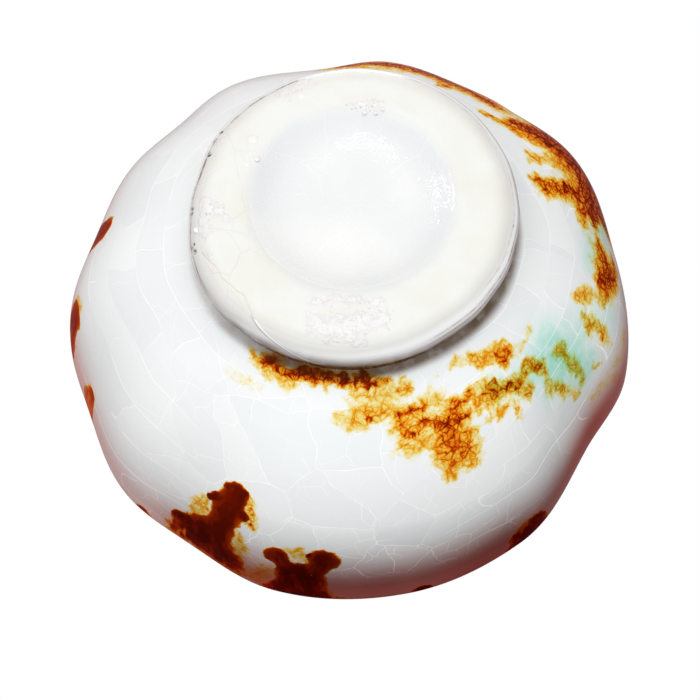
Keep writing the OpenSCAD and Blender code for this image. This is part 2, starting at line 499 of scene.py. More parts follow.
def makeStainGroup():
    n, take = newGroup("glazeStain", {"Glaze": "Color", "Iron": "Float", "Copper": "Float"},
                       {"Color": "Color"})
    deepest = stain["iron"][-1][0]
    scale = n.tree.nodes.new("ShaderNodeValToRGB")
    n.tree.links.new(n.maths("DIVIDE", take["Iron"], deepest, clamp=True), scale.inputs[0])
    stops = scale.color_ramp.elements
    for depth, light in stain["iron"][1:-1]:
        stops.new(depth / deepest)
    for stop, (depth, light) in zip(stops, stain["iron"]):
        stop.position, stop.color = depth / deepest, (*light, 1)
    stained = []
    for part, iron, copper in zip(n.split(take["Glaze"]), n.split(scale.outputs[0]), stain["copper"]):
        stained.append(n.times(part, n.times(iron, n.maths("POWER", copper, take["Copper"]))))
    return n.give(Color=n.join(stained))


# painted shade at the lip, and a red tint there: painted red bounce light, partly taken as thin glaze over
# red clay. What red takes from each colour
lipShadeAndRed = {"redTakes": (0.0, 1.0, 1.12)}


def makeLipShadeGroup():
    n, take = newGroup("lipShadeAndRed", {"Glaze": "Color", "Shade": "Float", "Red": "Float"}, {"Color": "Color"})
    left = []
    for part, share in zip(n.split(take["Glaze"]), lipShadeAndRed["redTakes"]):
        depth = n.scaled(take["Red"], share, take["Shade"])
        left.append(n.times(part, n.maths("EXPONENT", n.times(depth, -1.0))))
    return n.give(Color=n.join(left))


# iron that spread thin: a pale haze, a soft net of orange threads and dark knots
laceNet = {
    "driftScale": 700.0, "driftDetail": 2.0, "drift": 0.0012,
    "clump": dict(scale=300.0, detail=4.0, rough=0.6), "clumpShare": 1.0,
    "fine": dict(scale=1800.0, detail=3.0, rough=0.65), "fineShare": 0.7,
    # from density, to density, then depth of iron at each end
    "painted": (0.03, 0.25), "haze": (0.0, 0.7, 0.0, 0.46), "threads": (0.22, 1.0, 0.0, 2.1),
    "body": (0.5, 1.6, 0.0, 1.5), "knots": (0.86, 1.5, 0.0, 1.7), "knotNet": 0.7,
    # cells of the net: scale, half width, share
    "nets": [(640.0, 0.17, 1.0), (1350.0, 0.2, 0.8)],
    "grains": dict(scale=2600.0, rough=0.6), "grainShare": 0.9, "grainBase": 0.55,
}


def makeLaceGroup():
    c = laceNet
    n, take = newGroup("ironLaceNet", {"Vector": "Vector", "Density": "Float"}, {"Iron": "Float"})
    space, density = take["Vector"], take["Density"]
    bent = n.wander(space, c["driftScale"], c["driftDetail"], c["drift"])
    clump = n.scaled(n.grain(space, **c["clump"]), c["clumpShare"], -0.5 * c["clumpShare"])
    fine = n.scaled(n.grain(bent, **c["fine"]), c["fineShare"], -0.5 * c["fineShare"])
    rough = n.plus(density, n.plus(clump, fine))
    haze = n.times(n.ramp(rough, *c["haze"]), n.ramp(density, *c["painted"]))
    net = 0.0
    for scale, half, share in c["nets"]:
        net = n.larger(net, n.ramp(n.cellEdges(bent, scale), 0.0, half, share, 0.0))
    threads = n.times(n.times(net, net), n.ramp(rough, *c["threads"]))
    knots = n.times(n.ramp(rough, *c["knots"]), n.scaled(net, c["knotNet"], 1.0 - c["knotNet"]))
    whole = n.plus(haze, n.ramp(rough, *c["body"]), threads, knots)
    grains = n.scaled(n.grain(space, **c["grains"]), c["grainShare"], c["grainBase"])
    return n.give(Iron=n.times(whole, grains))


# pinholes and specks: a few of the cells of a coarse pattern hold a dot, solid as far as core
kilnSpecks = {"core": 0.6}


def makeSpeckGroup():
    n, take = newGroup("kilnSpecks",
                       {"Vector": "Vector", "Scale": "Float", "Size": "Float", "Share": "Float"},
                       {"Mask": "Float"})
    dots = n.cells(take["Vector"], take["Scale"])
    chosen = n.maths("LESS_THAN", n.split(dots["Color"])[0], take["Share"])
    spot = n.line(dots["Distance"], n.times(take["Size"], take["Scale"]), kilnSpecks["core"])
    return n.give(Mask=n.times(spot, chosen))


# one stretch of a crack, from Start to End
def makeCrackLineGroup():
    n, take = newGroup("crackLine",
                       {"Vector": "Vector", "Start": "Vector", "End": "Vector", "Width": "Float"},
                       {"Mask": "Float"})
    reach = n.vectors("SUBTRACT", take["Vector"], take["Start"])
    line = n.vectors("SUBTRACT", take["End"], take["Start"])
    size = n.vectors("DOT_PRODUCT", line, line)
    along = n.maths("DIVIDE", n.vectors("DOT_PRODUCT", reach, line), size, clamp=True)
    gap = n.vectors("LENGTH", n.vectors("SUBTRACT", reach, n.stretch(line, along)))
    return n.give(Mask=n.line(gap, take["Width"]))


# where the bluish glaze of the well gives way to the cream ring
wellEdge = {
    "ragged": dict(scale=160.0, detail=4.0, rough=0.6), "raggedReach": 0.004,
    "blueTo": 0.0115, "creamFrom": 0.0136,
}


def makeWellEdgeGroup():
    c = wellEdge
    n, take = newGroup("wellEdge", {"Vector": "Vector"}, {"Ring": "Float"})
    centred = n.vectors("SUBTRACT", take["Vector"], (0, cup["wellShift"] * mm, 0))
    reach = n.vectors("LENGTH", n.vectors("MULTIPLY", centred, (1, 1, 0)))
    uneven = n.scaled(n.grain(take["Vector"], **c["ragged"]), c["raggedReach"], -0.5 * c["raggedReach"])
    return n.give(Ring=n.ramp(n.plus(reach, uneven), c["blueTo"], c["creamFrom"]))


crackleGroup = makeCrackleGroup()
stainGroup = makeStainGroup()
lipShadeGroup = makeLipShadeGroup()
laceGroup = makeLaceGroup()
speckGroup = makeSpeckGroup()
wellEdgeGroup = makeWellEdgeGroup()
crackLineGroup = makeCrackLineGroup()
print("made the shared glaze effects")


# finish of the glazed wall
wallLook = {
    "whiteLow": (0.73, 0.775, 0.785, 1), "whiteHigh": (0.815, 0.848, 0.852, 1),
    "milk": dict(scale=60.0, detail=3.0), "milkShare": (0.6, 0.2), "cellShare": 0.7,
    # the net of cracks
    "cells": 88.0, "crackWidth": 0.000055, "crackBend": 0.0042, "crackShow": 0.9, "netLoss": 0.72,
    "crackColour": (0.98, 0.99, 0.99, 1), "ironShadeHides": 1.6, "redHides": 0.6, "shadeHides": 0.4,
    # cracks that follow the rim, wider near the lip, and the rungs between them
    "ringGap": 0.0044, "ringDrift": 2.4, "ringSway": 38.0, "ringOwn": 0.37, "lineFade": 1.1,
    "ringShown": dict(scale=60.0, detail=1.0, low=0.4, high=0.48), "rimCrack": 2.8, "rimRise": (0.012, 0.032),
    "rungTurn": 0.3, "rungDrift": 0.5, "rungSway": 75.0, "rungOwn": 17.31,
    "rungShown": dict(scale=85.0, detail=1.0, low=0.42, high=0.5),
    # runs of iron
    "fray": dict(scale=560.0, detail=4.0, rough=0.6), "runFray": 0.36, "runEdge": (0.47, 0.57),
    "drawn": 0.3, "streak": dict(scale=900.0, detail=3.0, rough=0.6, warp=0.6, low=0.36, high=0.6),
    "streakRise": (0.026, 0.034), "runDepth": 3.6, "runStreak": 2.0,
    "mottle": dict(scale=420.0, detail=4.0, rough=0.65, low=0.34, high=0.66, start=-1.0, end=0.8),
    "pale": dict(scale=330.0, low=0.6, high=0.68, end=0.88), "thinEdge": (0.48, 0.76, 0.62, 1.0),
    # copper, the painted lip shade and red tint, the painted crease shade and dirt, and specks
    "copper": dict(scale=420.0, detail=4.0, rough=0.65, warp=1.5, low=0.3, high=0.62, start=0.5, end=1.05),
    "lipMilk": (0.5, 0.75), "shadeDirtFray": (0.3, 0.6, 0.85, 1.0), "ironShadeTint": (0.5, 1.3),
    "shadeDirtColour": (0.1, 0.056, 0.024, 1), "ironShadeDirtColour": (0.056, 0.011, 0.002, 1),
    "specks": dict(Scale=420.0, Size=0.00012, Share=0.05), "speckShow": 0.35,
    "speckColour": (0.25, 0.2, 0.15, 1),
    # gloss and relief
    "rough": 0.12, "runRough": 0.15, "frayRough": 0.06, "gloss": 0.16, "ironGloss": 0.004, "dullAt": 0.6,
    "swell": 0.5, "swellScale": 140.0, "crackHeight": -0.03, "runHeight": 1.2, "relief": 0.0001,
}


def rimCracks(n, look, space, place):
    # long cracks that follow the rim, each broken into arcs
    sway = n.times(n.grain(space, look["ringSway"]), look["ringDrift"])
    turns = n.plus(n.over(n.attribute("coatLength"), look["ringGap"]), sway)
    half = n.ramp(place[2], *look["rimRise"], look["crackWidth"], look["crackWidth"] * look["rimCrack"])
    off = n.size(n.minus(n.maths("FRACT", turns), 0.5))
    arc = n.line(n.times(off, look["ringGap"]), half, rim=look["lineFade"])
    own = n.put("CombineXYZ", {2: n.times(n.maths("FLOOR", turns), look["ringOwn"])})[0]
    arc = n.times(arc, n.patch(n.vectors("ADD", space, own), **look["ringShown"]))
    # short cracks across, from one of them to the next
    bearing = n.maths("ARCTAN2", place[1], place[0])
    angle = n.scaled(n.grain(space, look["rungSway"]), look["rungDrift"], bearing)
    strip = n.maths("FLOOR", n.plus(turns, 0.5))
    across = n.scaled(strip, look["rungOwn"], n.over(angle, look["rungTurn"]))
    rungGap = look["rungTurn"] * cup["clayInnerRadius"] * mm
    rung = n.line(n.times(n.cellEdges(across, 1.0, "1D"), rungGap), half, rim=look["lineFade"])
    rung = n.times(rung, n.patch(space, **look["rungShown"]))
    tone = n.split(n.cells(across, 1.0, "1D")["Color"])[0]
    return n.larger(arc, rung), tone


# runs: dark and solid, streaked towards the lip, with a thin ochre fringe
def runStain(n, look, space, place, run, fray):
    drawn = n.put("Mapping", {"Vector": space, "Scale": (1, 1, look["drawn"])})[0]
    body = n.ramp(n.plus(run, n.scaled(fray, look["runFray"], -0.5 * look["runFray"])), *look["runEdge"])
    high = n.ramp(place[2], *look["streakRise"])
    solid = n.rest(n.times(high, n.rest(n.patch(drawn, **look["streak"]))))
    depth = n.plus(n.scaled(solid, look["runStreak"], look["runDepth"]), n.patch(drawn, **look["mottle"]))
    pale = n.times(n.patch(drawn, **look["pale"]), high)
    tone = n.times(n.attribute("runTone"), n.times(n.ramp(run, *look["thinEdge"]), n.rest(pale)))
    return body, n.times(body, n.times(depth, tone))


def makeWallGlaze(name, look):
    material, n = newMaterial(name)
    space = n.space()
    place = n.axes(space)
    run, lace, copper, ringShare, crease = (
        n.attribute(key) for key in ("ironRun", "ironLace", "copperWash", "ringShare", "creaseShadeDirt"))
    cracks = n.use(crackleGroup, Vector=n.attribute("flatMap", "Vector"), Cells=look["cells"],
                   Width=n.times(n.attribute("flatScale"), look["crackWidth"]), Bend=look["crackBend"])
    rimLines, rimTone = rimCracks(n, look, space, place)
    fray = n.grain(space, **look["fray"])
    runBody, runIron = runStain(n, look, space, place, run, fray)
    iron = n.larger(runIron, n.use(laceGroup, Vector=space, Density=lace)["Iron"])
    wash = n.times(copper, n.patch(space, **look["copper"]))
    # white glaze, a little uneven from cell to cell
    milk = n.grain(space, **look["milk"])
    cellTone = n.ramp(ringShare, 0.0, 1.0, cracks["Tone"], rimTone, smooth=False)
    tone = n.scaled(cellTone, look["cellShare"], -0.5 * look["cellShare"])
    even = n.maths("ADD", n.scaled(milk, *look["milkShare"]), tone, clamp=True)
    white = n.mix(even, look["whiteLow"], look["whiteHigh"])
    # painted shade towards the lip, and a red tint there: painted red bounce light, partly taken as thin
    # glaze over red clay
    uneven = n.scaled(milk, *look["lipMilk"])
    shade, red = (n.times(n.attribute(key), uneven) for key in ("lipShade", "lipRed"))
    lipShaded = n.use(lipShadeGroup, Glaze=white, Shade=shade, Red=red)["Color"]
    stained = n.use(stainGroup, Glaze=lipShaded, Iron=iron, Copper=wash)["Color"]
    # painted shade and dirt in the crease, darkest and reddest where iron ran into it
    shadeDirt = n.times(crease, n.ramp(fray, *look["shadeDirtFray"]))
    shadeDirtTint = n.mix(n.ramp(lace, *look["ironShadeTint"]), look["shadeDirtColour"], look["ironShadeDirtColour"])
    stained = n.mix(shadeDirt, stained, shadeDirtTint)
    # cracks show where the glaze is clear of iron and of the painted crease shade and dirt, and fade under
    # the painted lip shade and red tint
    clearOfIronAndShade = n.rest(n.times(n.plus(iron, shadeDirt), look["ironShadeHides"]), clamp=True)
    clearOfLipShade = n.rest(n.scaled(red, look["redHides"], n.times(shade, look["shadeHides"])), clamp=True)
    netLines = n.times(cracks["Lines"], n.scaled(ringShare, -look["netLoss"], 1.0))
    lines = n.times(n.larger(netLines, n.times(rimLines, ringShare)), n.times(clearOfIronAndShade, clearOfLipShade))
    cracked = n.mix(n.times(lines, look["crackShow"]), stained, look["crackColour"])
    specks = n.use(speckGroup, Vector=space, **look["specks"])["Mask"]
    colour = n.mix(n.times(specks, look["speckShow"]), cracked, look["speckColour"])
    rough = n.scaled(runBody, look["runRough"], n.scaled(fray, look["frayRough"], look["rough"]))
    swell = n.times(n.grain(space, look["swellScale"]), look["swell"])
    height = n.scaled(runBody, look["runHeight"], n.scaled(lines, look["crackHeight"], swell))
    # iron and the painted crease shade and dirt are dull
    ironAndShadeDirt = n.plus(n.larger(runBody, lace), shadeDirt)
    gloss = n.ramp(ironAndShadeDirt, 0.0, look["dullAt"], look["gloss"], look["ironGloss"])
    n.finish(colour, rough, height, look["relief"], gloss)
    return material


# outer glaze: the dipped coat, from the crease at the foot over the lip
outerCoat = {
    "wallSteps": 130, "lipSteps": 14, "hiddenSteps": 14, "hiddenLipSteps": 6, "sectorSteps": 15,
    "runRagged": 1.7, "runRaggedShare": 0.22, "crackPull": 1.45, "look": wallLook,
    # depth of the runs: azimuth, share
    "runTone": [
        (0, 0.72), (30, 0.78), (60, 0.85), (150, 0.9), (230, 1), (310, 1), (330, 0.6), (345, 0.5),
        (353, 0.74), (360, 0.74),
    ],
    # runs that fade on the lip: azimuth, share
    "runFade": [(0, 0), (284, 0), (292, 0.7), (312, 0.75), (320, 0.3), (330, 0), (360, 0)],
    "fadeFrom": 34.6, "fadeOver": 1.8,
    # runs of iron from the lip: strength, then azimuth, height, half width
    "runs": [
        (1, [(280, 38, 6.0), (279.8, 33, 3.7), (279.8, 30.6, 3.3), (279.8, 29.8, 2.4)]),
        (1, [(275.3, 26.6, 2.05)]),
        (1, [(277.4, 29.6, 1.5), (276.4, 28, 1.4)]),
        (1, [(284.8, 27.1, 1.7)]),
        (1, [(282.6, 29.6, 1.3), (283.6, 28, 1.3)]),
        (1, [(278.3, 25.9, 0.55)]),
        (1, [(301.5, 38, 7.0), (300.6, 33, 5.6), (300.4, 30.6, 4.0), (299, 28.4, 2.9), (297.6, 26, 2.1),
             (297.2, 24, 2.1), (296.7, 22.6, 2.3), (295.7, 20.1, 1.75)]),
        (1, [(304.8, 29.9, 1.5), (307.6, 30.2, 1.25)]),
        (1, [(299.7, 22.2, 1.0)]),
        (1, [(301.3, 22.8, 0.6)]),
        (1, [(294, 19.6, 0.75)]),
        (1, [(297.6, 19.9, 0.8)]),
        (1, [(293.4, 22.6, 1.0)]),
        (1, [(342, 38, 2.4), (341.5, 32, 1.9), (340.6, 29.3, 1.4)]),
        (1, [(356, 38, 3.0), (356.3, 31, 2.6), (356.8, 26.2, 2.2)]),
        (1, [(14.5, 38, 3.4), (14.5, 30, 2.6), (14.2, 24, 2.3), (14, 21.2, 1.9)]),
        (1, [(231, 38, 4.2), (231, 34, 3.2)]),
        (1, [(255.5, 38, 2.0), (255.5, 36.4, 1.4)]),
        (1, [(317, 38, 1.8), (317, 36.2, 1.3)]),
        (1, [(62, 38, 3.2), (63, 31, 2.2), (63.5, 27, 1.7)]),
        (1, [(96, 38, 7.0), (99, 30, 4.6), (101, 27, 3.0)]),
        (1, [(120, 38, 7.0), (121, 31, 4.4), (122, 27.5, 2.4)]),
        (1, [(146, 38, 6.0), (150, 32, 3.4), (152, 29, 1.8)]),
    ],
    # iron that spread thin, from the side of the copper round to the crease at the front
    "lace": [
        (0.75, [(203.6, 22, 0.5), (203.2, 19.5, 0.7), (203.8, 17.2, 0.8), (204.2, 15.5, 0.7)]),
        (0.6, [(206, 22.8, 0.5), (208.4, 21.2, 0.7), (210, 19.2, 0.9), (212.8, 17.4, 0.8)]),
        (0.95, [(209.4, 19.4, 0.5), (211.5, 18.2, 0.5)]),
        (0.6, [(212.6, 16.8, 0.5), (211.6, 15, 0.6), (212.6, 13.8, 0.7)]),
        (0.9, [(211.6, 14.2, 0.7), (214.4, 13.1, 0.7)]),
        (0.85, [(217, 14.9, 0.5), (220, 14.9, 0.5)]),
        (0.75, [(215, 13.7, 0.6), (220, 14, 0.6)]),
        (0.8, [(224, 15.7, 0.3), (224, 14, 0.4)]),
        (0.4, [(224, 16.5, 0.4), (224, 15.5, 0.4)]),
        (1.0, [(219.5, 13.3, 0.8), (223.5, 12.7, 1.0), (227.6, 12, 0.9)]),
        (1.25, [(221, 13.3, 0.35), (224.5, 12.3, 0.4), (227.5, 11.3, 0.35)]),
        (0.75, [(227, 14.2, 0.5), (228.6, 14.2, 0.5)]),
        (0.5, [(228, 13.7, 0.5), (233.6, 13.8, 0.45)]),
        (0.85, [(227.6, 12.2, 0.8), (233.2, 12.1, 0.8)]),
        (0.5, [(228, 11, 0.6), (233, 11, 0.6)]),
        (1.15, [(233.6, 11, 0.7), (238.5, 11.1, 0.75)]),
        (0.45, [(207.2, 11.2, 0.55), (213.6, 11.1, 0.5)]),
        (0.75, [(218, 11.2, 0.35), (213.6, 9.3, 0.3)]),
        (1.1, [(216.2, 10.8, 0.6), (219.8, 10.6, 0.6)]),
        (0.75, [(218.6, 10, 0.8), (223.5, 9.5, 0.9), (226.8, 9, 0.7)]),
        (0.4, [(227.6, 8.4, 0.55), (235.2, 8.3, 0.5)]),
        (0.9, [(238.4, 14.2, 0.8), (239.6, 15.6, 1.1), (240.4, 17, 0.7)]),
        (1.1, [(242.6, 15.6, 1.2), (242.8, 13.6, 1.5), (242.4, 12, 1.2)]),
        (0.85, [(246.6, 17.2, 0.7), (246, 15.4, 1.1), (246, 13.8, 1.2)]),
        (1.3, [(238.2, 12.4, 0.6), (242.4, 12.6, 0.7)]),
        (1.25, [(243.6, 12.6, 0.8), (246, 11.6, 0.9), (248.2, 11.4, 0.8)]),
        (0.6, [(242.6, 10.2, 1.0), (249.8, 10, 1.0)]),
        (0.75, [(250.2, 13, 0.9), (253.6, 13.2, 1.0), (257, 12.8, 0.8)]),
        (0.7, [(250.4, 11.4, 1.0), (257, 11.2, 0.9)]),
        (1.3, [(251.4, 12, 0.4), (253.6, 12, 0.4)]),
        (1.2, [(255.8, 12, 0.35), (255.8, 10.2, 0.4)]),
        (1.2, [(249.2, 10, 0.6), (252.8, 10.1, 0.6)]),
        (0.7, [(257, 9.8, 1.2), (263.6, 9.6, 1.2), (268, 9.6, 1.1)]),
        (1.05, [(263.7, 10, 0.45), (265.6, 10.1, 0.45)]),
        (0.45, [(266.8, 10, 1.0), (273, 10, 0.8)]),
        (0.95, [(250.8, 8.4, 0.7), (253.4, 8.1, 0.8), (252.4, 7.4, 0.6)]),
        (1.2, [(257.6, 7.4, 0.5), (268.8, 7.2, 0.5)]),
        (0.7, [(257.6, 8.4, 0.7), (268, 8.2, 0.6)]),
        (2.2, [(264, 6.8, 0.4), (272, 6.8, 0.45), (288, 6.8, 0.5)]),
        (1.6, [(262, 7.3, 0.5), (275, 7.2, 0.65), (290, 7.2, 0.5)]),
        (0.9, [(272.8, 7.5, 0.5), (274.6, 7.4, 0.5)]),
        (0.9, [(279.2, 7.8, 0.5), (281.6, 7.6, 0.6)]),
        (1.45, [(289, 7.1, 0.5), (294, 7.3, 0.7), (301, 7.1, 0.6)]),
        (0.6, [(290, 8.4, 0.7), (292.6, 8.3, 0.7)]),
        (0.6, [(297.2, 8.1, 0.6), (299.8, 8.0, 0.6)]),
        (0.8, [(300.2, 7.5, 0.6), (306.4, 7.4, 0.6)]),
        (0.22, [(301.5, 9.3, 0.9), (309.6, 9.6, 0.8)]),
        # the far side
        (1.4, [(88, 17.4, 2.0), (98, 17.2, 2.3), (110, 18, 2.2), (118, 17.6, 2.0), (126, 17.6, 1.8)]),
        (1.35, [(87, 22, 2.2), (96, 22.6, 2.6), (100, 25, 2.0)]),
        (1.5, [(105, 21.4, 2.4), (116, 22.4, 2.6)]),
        (1.2, [(121, 21, 1.8), (128, 22.6, 2.2)]),
        (0.95, [(92, 28.4, 1.6), (96, 26.6, 1.8)]),
        (1.1, [(108, 27.6, 1.8), (117, 25.8, 2.0)]),
        (0.9, [(127, 27.4, 1.6), (132, 25, 1.8)]),
        (1.9, [(130, 24, 1.8), (138, 22, 2.0), (146, 21, 2.0)]),
        (1.0, [(114.6, 13.9, 0.5), (115.4, 15.4, 0.9)]),
        (1.1, [(129.4, 12.9, 0.6), (134, 13.8, 0.9), (139, 15.2, 1.3), (142.5, 16, 1.2)]),
        (1.75, [(135, 15.8, 1.0), (138, 17.4, 1.5), (142, 18.6, 1.7)]),
        (0.75, [(146.4, 12.8, 0.6), (149.4, 13, 0.7)]),
        (0.75, [(148.6, 13.4, 0.7), (149, 16.2, 1.1)]),
        (1.1, [(143, 17.4, 1.2), (150, 18, 1.5)]),
        (1.15, [(155.6, 11.5, 0.5), (158.4, 12.2, 1.0), (158.2, 15, 1.4), (157.6, 18.6, 1.7)]),
        (0.75, [(159.4, 12.2, 0.6), (162, 12.2, 0.45)]),
        (1.3, [(156.8, 15.6, 0.6), (157, 18.4, 0.7)]),
        (1.15, [(161, 18.4, 1.2), (166.8, 17.4, 0.8)]),
        (2.0, [(146, 20, 1.7), (152, 21.2, 1.9), (159, 21, 1.8), (164, 20.4, 1.0)]),
        (1.9, [(149, 24.6, 1.8), (158, 24.4, 1.7), (163, 26, 1.2)]),
        (1.2, [(170.4, 20, 1.0), (174, 20.4, 1.8), (178, 19.6, 1.6), (181.6, 18.6, 0.9)]),
        (1.2, [(172.6, 24, 1.1), (176, 22.2, 1.6), (180.6, 20.4, 1.4), (183.4, 20.2, 0.8)]),
        (0.6, [(184.4, 19.4, 0.7), (187, 17, 0.6)]),
        (0.85, [(185.8, 16.4, 0.7), (188.6, 15.4, 0.8)]),
        (0.8, [(192.4, 20.4, 0.8), (193.2, 18, 1.0), (192.8, 16.8, 0.7)]),
        (0.4, [(192.6, 23, 0.6), (192.8, 20.5, 0.8)]),
        (0.6, [(197.4, 23.4, 0.4), (198.4, 22.8, 0.4), (199.4, 21.8, 0.4)]),
        (0.3, [(187, 26.5, 1.6), (195, 27, 1.8), (202, 26.5, 1.4)]),
        # thin patches beside the runs
        (0.7, [(291.6, 23.4, 0.7), (291.8, 21.6, 0.8), (292.2, 20, 0.7)]),
        (1.4, [(291, 23.5, 0.4), (291.8, 23.2, 0.35)]),
        (1.1, [(291.4, 21.8, 0.3), (291.2, 20.6, 0.3)]),
        (0.65, [(303, 27.4, 0.7), (303.6, 25.6, 0.8), (303, 23.8, 0.7)]),
        (1.0, [(302.2, 25, 0.3), (303.2, 24.4, 0.3), (302.6, 23.6, 0.3)]),
        (0.55, [(293, 30, 0.8), (293.4, 27.4, 0.8), (293.6, 25.6, 0.6)]),
        (0.55, [(279.4, 26.4, 0.8), (281.4, 26, 0.9), (280.2, 25.2, 0.6)]),
        (0.5, [(286.5, 31, 1.2), (288.5, 34, 1.8)]),
        (0.6, [(343, 34, 0.8), (341.6, 28.6, 0.7)]),
        (0.5, [(357, 25.4, 1.4), (357, 24, 0.8)]),
    ],
    "copper": [
        (1.1, [(201.5, 20.5, 1.8), (203.5, 17.5, 2.8), (205.5, 14.6, 2.3)]),
        (0.9, [(207.5, 17.5, 1.8), (209.5, 14, 1.6)]),
        (0.6, [(213, 17, 1.6), (214.5, 14, 1.2)]),
        (0.6, [(212, 15, 1.2), (219, 13.4, 1.3), (226, 12, 1.0)]),
        (0.6, [(163.5, 24.5, 1.2), (167.5, 20.6, 1.3)]),
        (0.45, [(187, 21.5, 1.6), (190.5, 18.5, 1.6), (196, 17.4, 1.8)]),
        (0.5, [(171, 17.6, 1.2), (178, 16.4, 1.2)]),
    ],
    # cracks that follow the rim: azimuth, share
    "ringShare": [
        (0, 1), (40, 1), (90, 0.8), (140, 1), (215, 1), (240, 0.5), (262, 0.15), (300, 0.15), (325, 0.7),
        (345, 1), (360, 1),
    ],
    # painted shade towards the lip, and a red tint there, which is painted red bounce light, partly taken as
    # thin glaze over red clay: height, depth
    "shadeUp": [
        (21, 0), (22, 0.08), (23.5, 0.16), (25, 0.28), (26.5, 0.45), (28, 0.68), (29.5, 0.97), (31, 1.22),
        (32.5, 1.25), (34, 1.08), (35.5, 0.9), (36.6, 0.95), (38, 1.2),
    ],
    "redUp": [
        (24.5, 0), (26.5, 0.09), (28, 0.21), (29.5, 0.46), (31, 0.89), (32.5, 1.32), (34, 1.45), (35.5, 1.57),
        (38, 1.6),
    ],
    # the same round the cup: azimuth, share, and for redDrop azimuth, millimetres
    "lipShade": [
        (0, 0), (60, 0), (120, 0.1), (150, 0.25), (175, 0.4), (195, 0.42), (210, 0.52), (225, 0.74),
        (238, 1.02), (250, 1), (275, 1), (290, 0.7), (300, 0.5), (318, 0.12), (340, 0.05), (360, 0),
    ],
    "lipRed": [
        (0, 0.4), (30, 0.38), (60, 0.34), (120, 0.42), (150, 0.55), (175, 0.8), (195, 1.0), (210, 1.25),
        (225, 0.75), (240, 1.1), (262, 1), (285, 0.9), (300, 0.6), (318, 0.26), (335, 0.34), (350, 0.42),
        (360, 0.4),
    ],
    "redDrop": [
        (0, 2.5), (30, 5), (60, 5), (120, 3.4), (170, 1.6), (200, 1), (225, 0), (318, 0), (345, 1), (360, 3),
    ],
    # painted shade and dirt in the crease: azimuth, share, then azimuth, height
    "creaseShadeDirt": [
        (0, 0.3), (60, 0), (120, 0.1), (150, 0.3), (168, 0.7), (190, 0.9), (215, 0.95), (240, 0.9),
        (255, 0.95), (295, 0.95), (312, 0.6), (335, 0.3), (360, 0.25),
    ],
    "shadeDirtReach": [
        (0, 1.2), (120, 1.2), (155, 1.6), (180, 1.7), (205, 1.65), (225, 1.4), (245, 1.2), (290, 1.2),
        (310, 1.2), (330, 1.3), (360, 1.2),
    ],
    "shadeDirtHold": 0.4,
}


def makeOuterGlaze():
    c = outerCoat
    wall = wallLine(cup["glazeNeckRadius"], cup["lipRadius"], c["wallSteps"])
    lip = lipLine(cup["lipRadius"], cup["innerRadius"], cup["lipRise"], c["lipSteps"])
    inner = [(cup["innerRadius"], cup["lipHeight"]), (cup["clayInnerRadius"], cup["lipHeight"])]
    hiddenLip = lipLine(cup["clayRadius"], cup["clayInnerRadius"], cup["clayLipRise"], c["hiddenLipSteps"])
    hiddenWall = wallLine(cup["neckRadius"], cup["clayRadius"], c["hiddenSteps"])
    section = wall + lip + inner + hiddenLip[::-1] + hiddenWall[::-1]
    piece = turnSection("outerGlaze", section, True, c["sectorSteps"], shapeWall)
    points, azimuth = paintCoat(piece, c, onWall)
    height = points[:, 2]
    # painted shade and red tint towards the lip
    shade = np.interp(height, *zip(*c["shadeUp"]))
    red = np.interp(height + aroundCup(azimuth, c["redDrop"]), *zip(*c["redUp"]))
    # painted shade and dirt in the crease, fading up the wall
    rise = (height - cup["baseHeight"]) / aroundCup(azimuth, c["shadeDirtReach"])
    low = 1.0 - easeShare((rise - c["shadeDirtHold"]) / (1.0 - c["shadeDirtHold"]))
    for name, depth in (("lipShade", shade), ("lipRed", red), ("creaseShadeDirt", low)):
        keepValues(piece, name, depth * aroundCup(azimuth, c[name]))
    # the pull makes the cells of the crackle longer round the cup
    line = wall + [(lipMiddle, lipTop)]
    radius, lineHeight, length = stepLengths(line)
    middle = (radius[1:] + radius[:-1]) / 2
    grown = c["crackPull"] * np.concatenate(([0.0], np.cumsum(length / middle)))
    reach = np.interp(height, lineHeight, radius[0] * np.exp(grown))
    keepFlatMap(piece, points, reach / polar(points)[1])
    keepCoatLength(piece, line, points)
    piece.data.materials.append(makeWallGlaze("outerGlazeFinish", c["look"]))
    return piece


# inner glaze: the poured coat, with a few runs over the lip
innerCoat = dict(outerCoat, **{
    "insideSteps": 100, "hiddenSteps": 12, "sectorSteps": 12,
    "look": dict(wallLook, cells=80.0, gloss=0.5, ironGloss=0.3),
    "runs": [
        (1, [(278, 38, 3.4), (278, 31, 2.4), (278, 28, 1.6)]),
        (1, [(303, 38, 5.0), (302, 30, 3.2), (301, 25, 1.9)]),
        (1, [(356, 38, 3.0), (356, 32, 2.0)]),
        (1, [(14.5, 38, 3.0), (15, 31, 2.2), (15, 28, 1.6)]),
        (1, [(231, 38, 3.6), (231, 35, 2.2)]),
        (1, [(96, 38, 5.0), (97, 30, 3.4), (97, 24, 2.0)]),
        (1, [(120, 38, 5.0), (119, 32, 3.0), (118, 28, 1.8)]),
        (1, [(146, 38, 5.0), (146, 33, 2.8), (145, 29, 1.6)]),
    ],
    "lace": [
        (0.9, [(97, 24, 1.6), (100, 17, 1.8), (112, 12.6, 2.0)]),
        (0.75, [(118, 27, 1.4), (124, 21, 1.6)]),
        (0.8, [(301, 24, 1.4), (298, 18, 1.6)]),
        (0.7, [(60, 11.2, 2.4), (110, 10.9, 2.2)]),
    ],
    "copper": [
        (0.9, [(150, 20, 2.4), (170, 13, 3.0)]),
        (0.7, [(90, 11.4, 2.6), (60, 10.8, 2.6)]),
    ],
    # painted shade and a red tint towards the lip, as on the outside
    "lipShadeFrom": 32.0, "lipShadeOver": 4.4, "lipShadeDepth": 0.8, "lipRedDepth": 1.6,
    # laid flat, the wall's height spreads outwards
    "spreadFrom": 14.0, "spreadOver": 22.0,
})


